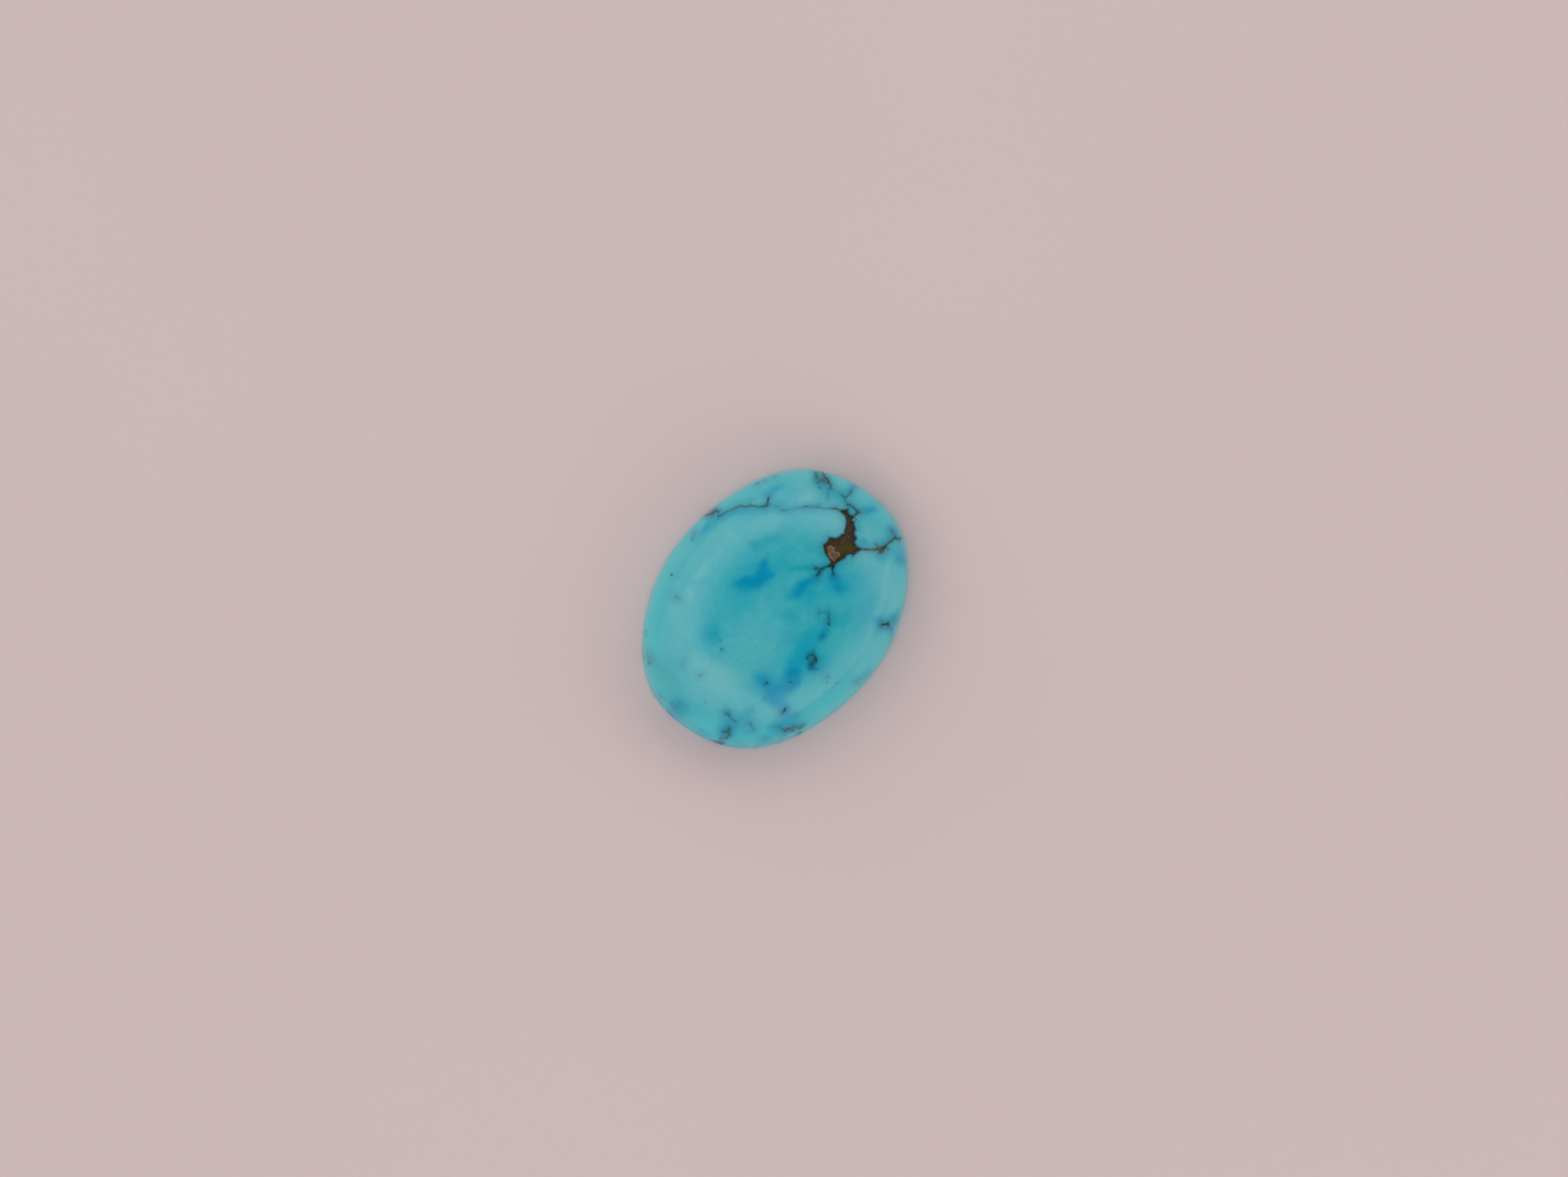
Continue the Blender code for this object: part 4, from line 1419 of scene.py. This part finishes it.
    def fine_bump(self, nodes: StoneNodes) -> bpy.types.NodeSocket:
        """Makes the relief too fine for the mesh: polishing marks, and the back's scratches.

        Args:
            nodes: the sockets to work from.

        Returns:
            The bent normal.
        """
        stretched = add_node(nodes.tree, "ShaderNodeMapping", {
            "Vector": nodes.where, "Rotation": (0.0, 0.0, math.radians(self.scratch_turn)),
            "Scale": (*self.scratch_scale, 1.0),
        })
        scratch = add_node(nodes.tree, "ShaderNodeTexNoise", {
            "Vector": stretched, "Scale": 1.0, "Detail": 3.0,
        }, "Fac")
        scratched = add_node(nodes.tree, "ShaderNodeMath", {
            0: scratch, 1: nodes.layers["ground"],
        }, operation="MULTIPLY")
        height = add_node(nodes.tree, "ShaderNodeMath", {
            0: nodes.noises["fleck"], 1: self.polish_marks, 2: scratched,
        }, operation="MULTIPLY_ADD")
        return add_node(nodes.tree, "ShaderNodeBump", {
            "Height": height, "Distance": self.marks_depth * MM, "Strength": 1.0,
        })


LAYER_NAMES = (*(kind.value for kinds in (Grain, Filling, Tint) for kind in kinds),
               "halo", "skirt", "speck", "ground", "edge")


@dataclass(frozen=True)
class Cabochon:
    """The stone: its form, markings, relief and finish.

    Attributes:
        form: the form it was cut to.
        markings: where its markings lie.
        relief: how far they stand above or below the dome.
        finish: its material.
        rounds: how many times the long edges of the mesh are halved.
        slack: how many times too long an edge may be before it is halved.
    """

    form: CabochonForm
    markings: Markings = Markings()
    relief: Relief = Relief()
    finish: PolishedTurquoise = PolishedTurquoise()
    rounds: int = 2
    slack: float = 1.5

    def refined(self) -> tuple[np.ndarray, np.ndarray]:
        """Meshes the form's disc, finer along the veins and the matrix.

        Returns:
            X and y of the vertices on the disc, and the triangles.
        """
        disc, faces = self.form.disc_mesh()
        sheet = bpy.data.meshes.new("disc")
        sheet.from_pydata([(x, y, 0.0) for x, y in disc], [], faces)
        work = bmesh.new()
        work.from_mesh(sheet)
        bpy.data.meshes.remove(sheet)
        for _ in range(self.rounds):
            disc = flat_places(work)
            ends = np.array([[vertex.index for vertex in edge.verts] for edge in work.edges])
            wanted = self.markings.wanted_edges(self.form, disc)[ends].min(axis=1)
            # The disc stretches the back, so lengths are measured on the stone
            starts, stops = self.form.surface(disc)[ends.T]
            too_long = np.linalg.norm(stops - starts, axis=1) > self.slack * wanted
            chosen = [edge for edge, is_cut in zip(work.edges, too_long) if is_cut]
            bmesh.ops.subdivide_edges(work, edges=chosen, cuts=1)
            bmesh.ops.triangulate(work, faces=[face for face in work.faces if len(face.verts) > 3])
        disc = flat_places(work)
        faces = np.array([[vertex.index for vertex in face.verts] for face in work.faces])
        work.free()
        return disc, faces

    def build(self) -> bpy.types.Object:
        """Builds the stone's mesh and dresses it.

        Returns:
            The stone's object.
        """
        disc, faces = self.refined()
        places = self.form.surface(disc)
        layers = self.markings.layers(self.form, disc)
        mesh = bpy.data.meshes.new(PIECE)
        mesh.from_pydata((places * MM).tolist(), [], faces.tolist())
        normals = np.array([normal.vector for normal in mesh.vertex_normals])
        heights = self.relief.heights(places, layers)
        moved = (places + normals * heights[:, None]) * MM
        mesh.vertices.foreach_set("co", moved.astype(np.float32).ravel())
        for name in LAYER_NAMES:
            attribute = mesh.attributes.new(name, "FLOAT", "POINT")
            attribute.data.foreach_set("value", layers[name].astype(np.float32))
        mesh.shade_smooth()
        mesh.materials.append(self.finish.material())
        mesh.update()
        stone = bpy.data.objects.new(PIECE, mesh)
        bpy.context.scene.collection.objects.link(stone)
        return stone


@dataclass(frozen=True)
class PinkPaper:
    """Uncoated pale pink paper: matte and even, with a faint cloudiness.

    Attributes:
        colour: the paper's colour.
        shade: its faintly darker parts.
        cloud: width of those parts, in millimetres.
        fibre: width of its fibres, which are drawn coarser than they are.
        fibre_height: how far they stand up, in millimetres.
        fibre_strength: how much of that height the bump shows.
        roughness: of its surface.
        shine: of its surface, where 0.5 is common.
    """

    colour: str = "E8D4D9"
    shade: str = "E5D0D5"
    cloud: float = 45.0
    fibre: float = 0.5
    fibre_height: float = 0.02
    fibre_strength: float = 0.3
    roughness: float = 0.85
    shine: float = 0.2

    def material(self) -> bpy.types.Material:
        """Makes the node material.

        Returns:
            The material.
        """
        made = bpy.data.materials.new("uncoated_pink_paper")
        tree = bare_tree(made)
        where = add_node(tree, "ShaderNodeTexCoord", output="Object")
        clouds, fibres = (
            add_node(tree, "ShaderNodeTexNoise", {
                "Vector": where, "Scale": 1 / (size * MM), "Detail": 2.0,
            }, "Fac")
            for size in (self.cloud, self.fibre)
        )
        colour = add_node(tree, "ShaderNodeMix", {
            "Factor_Float": clouds, "A_Color": linear(self.colour), "B_Color": linear(self.shade),
        }, "Result_Color", data_type="RGBA")
        bump = add_node(tree, "ShaderNodeBump", {
            "Height": fibres, "Distance": self.fibre_height * MM, "Strength": self.fibre_strength,
        })
        shader = add_node(tree, "ShaderNodeBsdfPrincipled", {
            "Base Color": colour, "Roughness": self.roughness, "Specular IOR Level": self.shine,
            "Normal": bump,
        })
        add_node(tree, "ShaderNodeOutputMaterial", {"Surface": shader})
        return made


@dataclass(frozen=True)
class Studio:
    """The floor, the light and the camera.

    The light is one large soft tent. It has a dark oval opening above the stone, where the
    camera looks through it, and it is brightest round that opening. Low down it is dim at
    the sides and brighter at the two ends to which the opening's length points.

    Attributes:
        turn: direction of the stone's length in the picture, in degrees above its right side.
        tilt: how far the camera stands off the vertical, towards the picture's lower edge.
        distance: from the camera to the stone, in millimetres.
        frame_width: how much the picture's width takes in at the stone, in millimetres.
        aim: what the camera looks at, right of and above the stone's middle in the picture.
        sensor: width of the camera's sensor, in millimetres.
        floor_size: side of the floor, in millimetres.
        floor_drop: how far the floor lies under the back, so that they don't touch.
        light: colour of the tent.
        opening: radiance of the tent's opening.
        opening_length: direction of its length, in degrees from the picture's right side.
        opening_size: its half length and half width, as shares of the way to the horizon.
        opening_middle: its middle, along its length and across it, in the same shares.
        opening_soft: how soft its edge is, as a share of its size.
        roof: radiance of the tent round the opening.
        glow: how much radiance a soft glow over the opening's edge adds.
        glow_towards: the side of the picture at which the glow lies.
        glow_rise: how far up it lies, in degrees.
        glow_half: half its angle, in degrees.
        sides: radiance of the tent low down at its sides.
        ends: radiance of the tent low down at its ends.
        roof_height: how high up the roof starts, as a sine.
        lean: how much brighter the tent is on one side, as a share of its radiance.
        lean_towards: that side of the picture.
    """

    turn: float = 50.43
    tilt: float = 6.0
    distance: float = 200.0
    frame_width: float = 92.68
    aim: tuple[float, float] = (0.527, 0.925)
    sensor: float = 36.0
    floor_size: float = 3000.0
    floor_drop: float = 0.02
    light: str = "FFFBF5"
    opening: float = 0.075
    opening_length: float = -37.0
    opening_size: tuple[float, float] = (0.84, 0.675)
    opening_middle: tuple[float, float] = (0.105, 0.035)
    opening_soft: float = 0.227
    roof: float = 2.36
    glow: float = 0.68
    glow_towards: float = 246.0
    glow_rise: float = 73.0
    glow_half: float = 29.0
    sides: float = 0.54
    ends: float = 1.47
    roof_height: float = 1.0
    lean: float = 0.27
    lean_towards: float = -14.0

    def in_picture(self, angle: float) -> Vector:
        """Gives the level direction at an angle from the picture's right side."""
        turned = math.radians(angle - self.turn)
        return Vector((math.cos(turned), math.sin(turned), 0.0))

    def build_floor(self) -> bpy.types.Object:
        """Lays the paper on which the stone rests.

        Returns:
            The floor's object.
        """
        half = self.floor_size / 2 * MM
        corners = [(x * half, y * half, 0.0) for x, y in ((-1, -1), (1, -1), (1, 1), (-1, 1))]
        mesh = bpy.data.meshes.new("paper_floor")
        mesh.from_pydata(corners, [], [(0, 1, 2, 3)])
        mesh.materials.append(PinkPaper().material())
        floor = bpy.data.objects.new("paper_floor", mesh)
        floor.location.z = -self.floor_drop * MM
        bpy.context.scene.collection.objects.link(floor)
        return floor

    def build_light(self) -> bpy.types.World:
        """Hangs the tent of light round the stone.

        Returns:
            The world that holds it.
        """
        world = bpy.data.worlds.new("light_tent")
        tree = bare_tree(world)
        heading = add_node(tree, "ShaderNodeTexCoord", output="Generated")
        length, width = self.opening_size
        along, across = self.opening_middle
        opening = add_node(tree, "ShaderNodeVectorRotate", {
            "Vector": heading, "Angle": math.radians(self.turn - self.opening_length),
        }, rotation_type="Z_AXIS")
        scaled = add_node(tree, "ShaderNodeVectorMath", {
            0: opening, 1: (1 / length, 1 / width, 0.0), 2: (-along / length, -across / width, 0.0),
        }, operation="MULTIPLY_ADD")
        outside = add_node(tree, "ShaderNodeMapRange", {
            "Value": add_node(tree, "ShaderNodeVectorMath", {0: scaled}, "Value",
                              operation="LENGTH"),
            "From Min": 1 - self.opening_soft, "From Max": 1 + self.opening_soft,
        }, interpolation_type="SMOOTHSTEP")
        end = add_node(tree, "ShaderNodeSeparateXYZ", {"Vector": opening}, "X")
        end = add_node(tree, "ShaderNodeMath", {0: end, 1: end}, operation="MULTIPLY")
        low = add_node(tree, "ShaderNodeMath", {0: end, 1: self.ends - self.sides, 2: self.sides},
                       operation="MULTIPLY_ADD")
        high = add_node(tree, "ShaderNodeMapRange", {
            "Value": add_node(tree, "ShaderNodeSeparateXYZ", {"Vector": heading}, "Z"),
            "From Max": self.roof_height,
        }, interpolation_type="SMOOTHSTEP")
        tent = add_node(tree, "ShaderNodeMix", {
            "Factor_Float": high, "A_Float": low, "B_Float": self.roof,
        }, "Result_Float", data_type="FLOAT")
        leaning = add_node(tree, "ShaderNodeVectorMath", {
            0: heading, 1: self.in_picture(self.lean_towards),
        }, "Value", operation="DOT_PRODUCT")
        leaning = add_node(tree, "ShaderNodeMath", {0: leaning, 1: self.lean, 2: 1.0},
                           operation="MULTIPLY_ADD")
        tent = add_node(tree, "ShaderNodeMath", {0: tent, 1: leaning}, operation="MULTIPLY")
        radiance = add_node(tree, "ShaderNodeMix", {
            "Factor_Float": outside, "A_Float": self.opening, "B_Float": tent,
        }, "Result_Float", data_type="FLOAT")
        rise = math.radians(self.glow_rise)
        towards = self.in_picture(self.glow_towards) * math.cos(rise)
        towards.z = math.sin(rise)
        near = add_node(tree, "ShaderNodeVectorMath", {0: heading, 1: towards}, "Value",
                        operation="DOT_PRODUCT")
        glow = add_node(tree, "ShaderNodeMapRange", {
            "Value": near, "From Min": math.cos(math.radians(self.glow_half)), "To Max": self.glow,
        }, interpolation_type="SMOOTHSTEP")
        radiance = add_node(tree, "ShaderNodeMath", {0: radiance, 1: glow}, operation="ADD")
        shader = add_node(tree, "ShaderNodeBackground", {
            "Color": linear(self.light), "Strength": radiance,
        })
        add_node(tree, "ShaderNodeOutputWorld", {"Surface": shader})
        bpy.context.scene.world = world
        return world

    def build_camera(self, height: float) -> bpy.types.Object:
        """Sets up the camera, nearly straight above the stone.

        Args:
            height: the stone's height in millimetres, whose middle is looked at.

        Returns:
            The camera's object.
        """
        data = bpy.data.cameras.new("camera")
        data.sensor_width = self.sensor
        data.lens = self.sensor * self.distance / self.frame_width
        right, up = self.in_picture(0), self.in_picture(90)
        tilt = math.radians(self.tilt)
        back = Vector((0, 0, 1)) * math.cos(tilt) - up * math.sin(tilt)
        target = right * self.aim[0] + back.cross(right) * self.aim[1]
        target.z += height / 2
        camera = bpy.data.objects.new("camera", data)
        camera.matrix_world = Matrix((right, back.cross(right), back)).transposed().to_4x4()
        camera.location = (target + back * self.distance) * MM
        bpy.context.scene.collection.objects.link(camera)
        bpy.context.scene.camera = camera
        return camera


def main() -> None:
    """Builds the stone and its studio, and reports each piece."""
    logging.basicConfig(level=logging.INFO, format="%(name)s: %(message)s")
    low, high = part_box(NODE)
    length, width, height = (high - low) / MM
    stone = Cabochon(CabochonForm(length, width, height)).build()
    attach(stone, "root")
    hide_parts(NODE)
    LOG.info("%s: %.2f x %.2f x %.2f mm, %d triangles", stone.name, length, width, height,
             len(stone.data.polygons))
    studio = Studio()
    for thing in (studio.build_floor(), studio.build_light(), studio.build_camera(height)):
        LOG.info("%s is in place", thing.name)
    bpy.context.scene.view_settings.view_transform = "Standard"


if __name__ == "__main__":
    main()
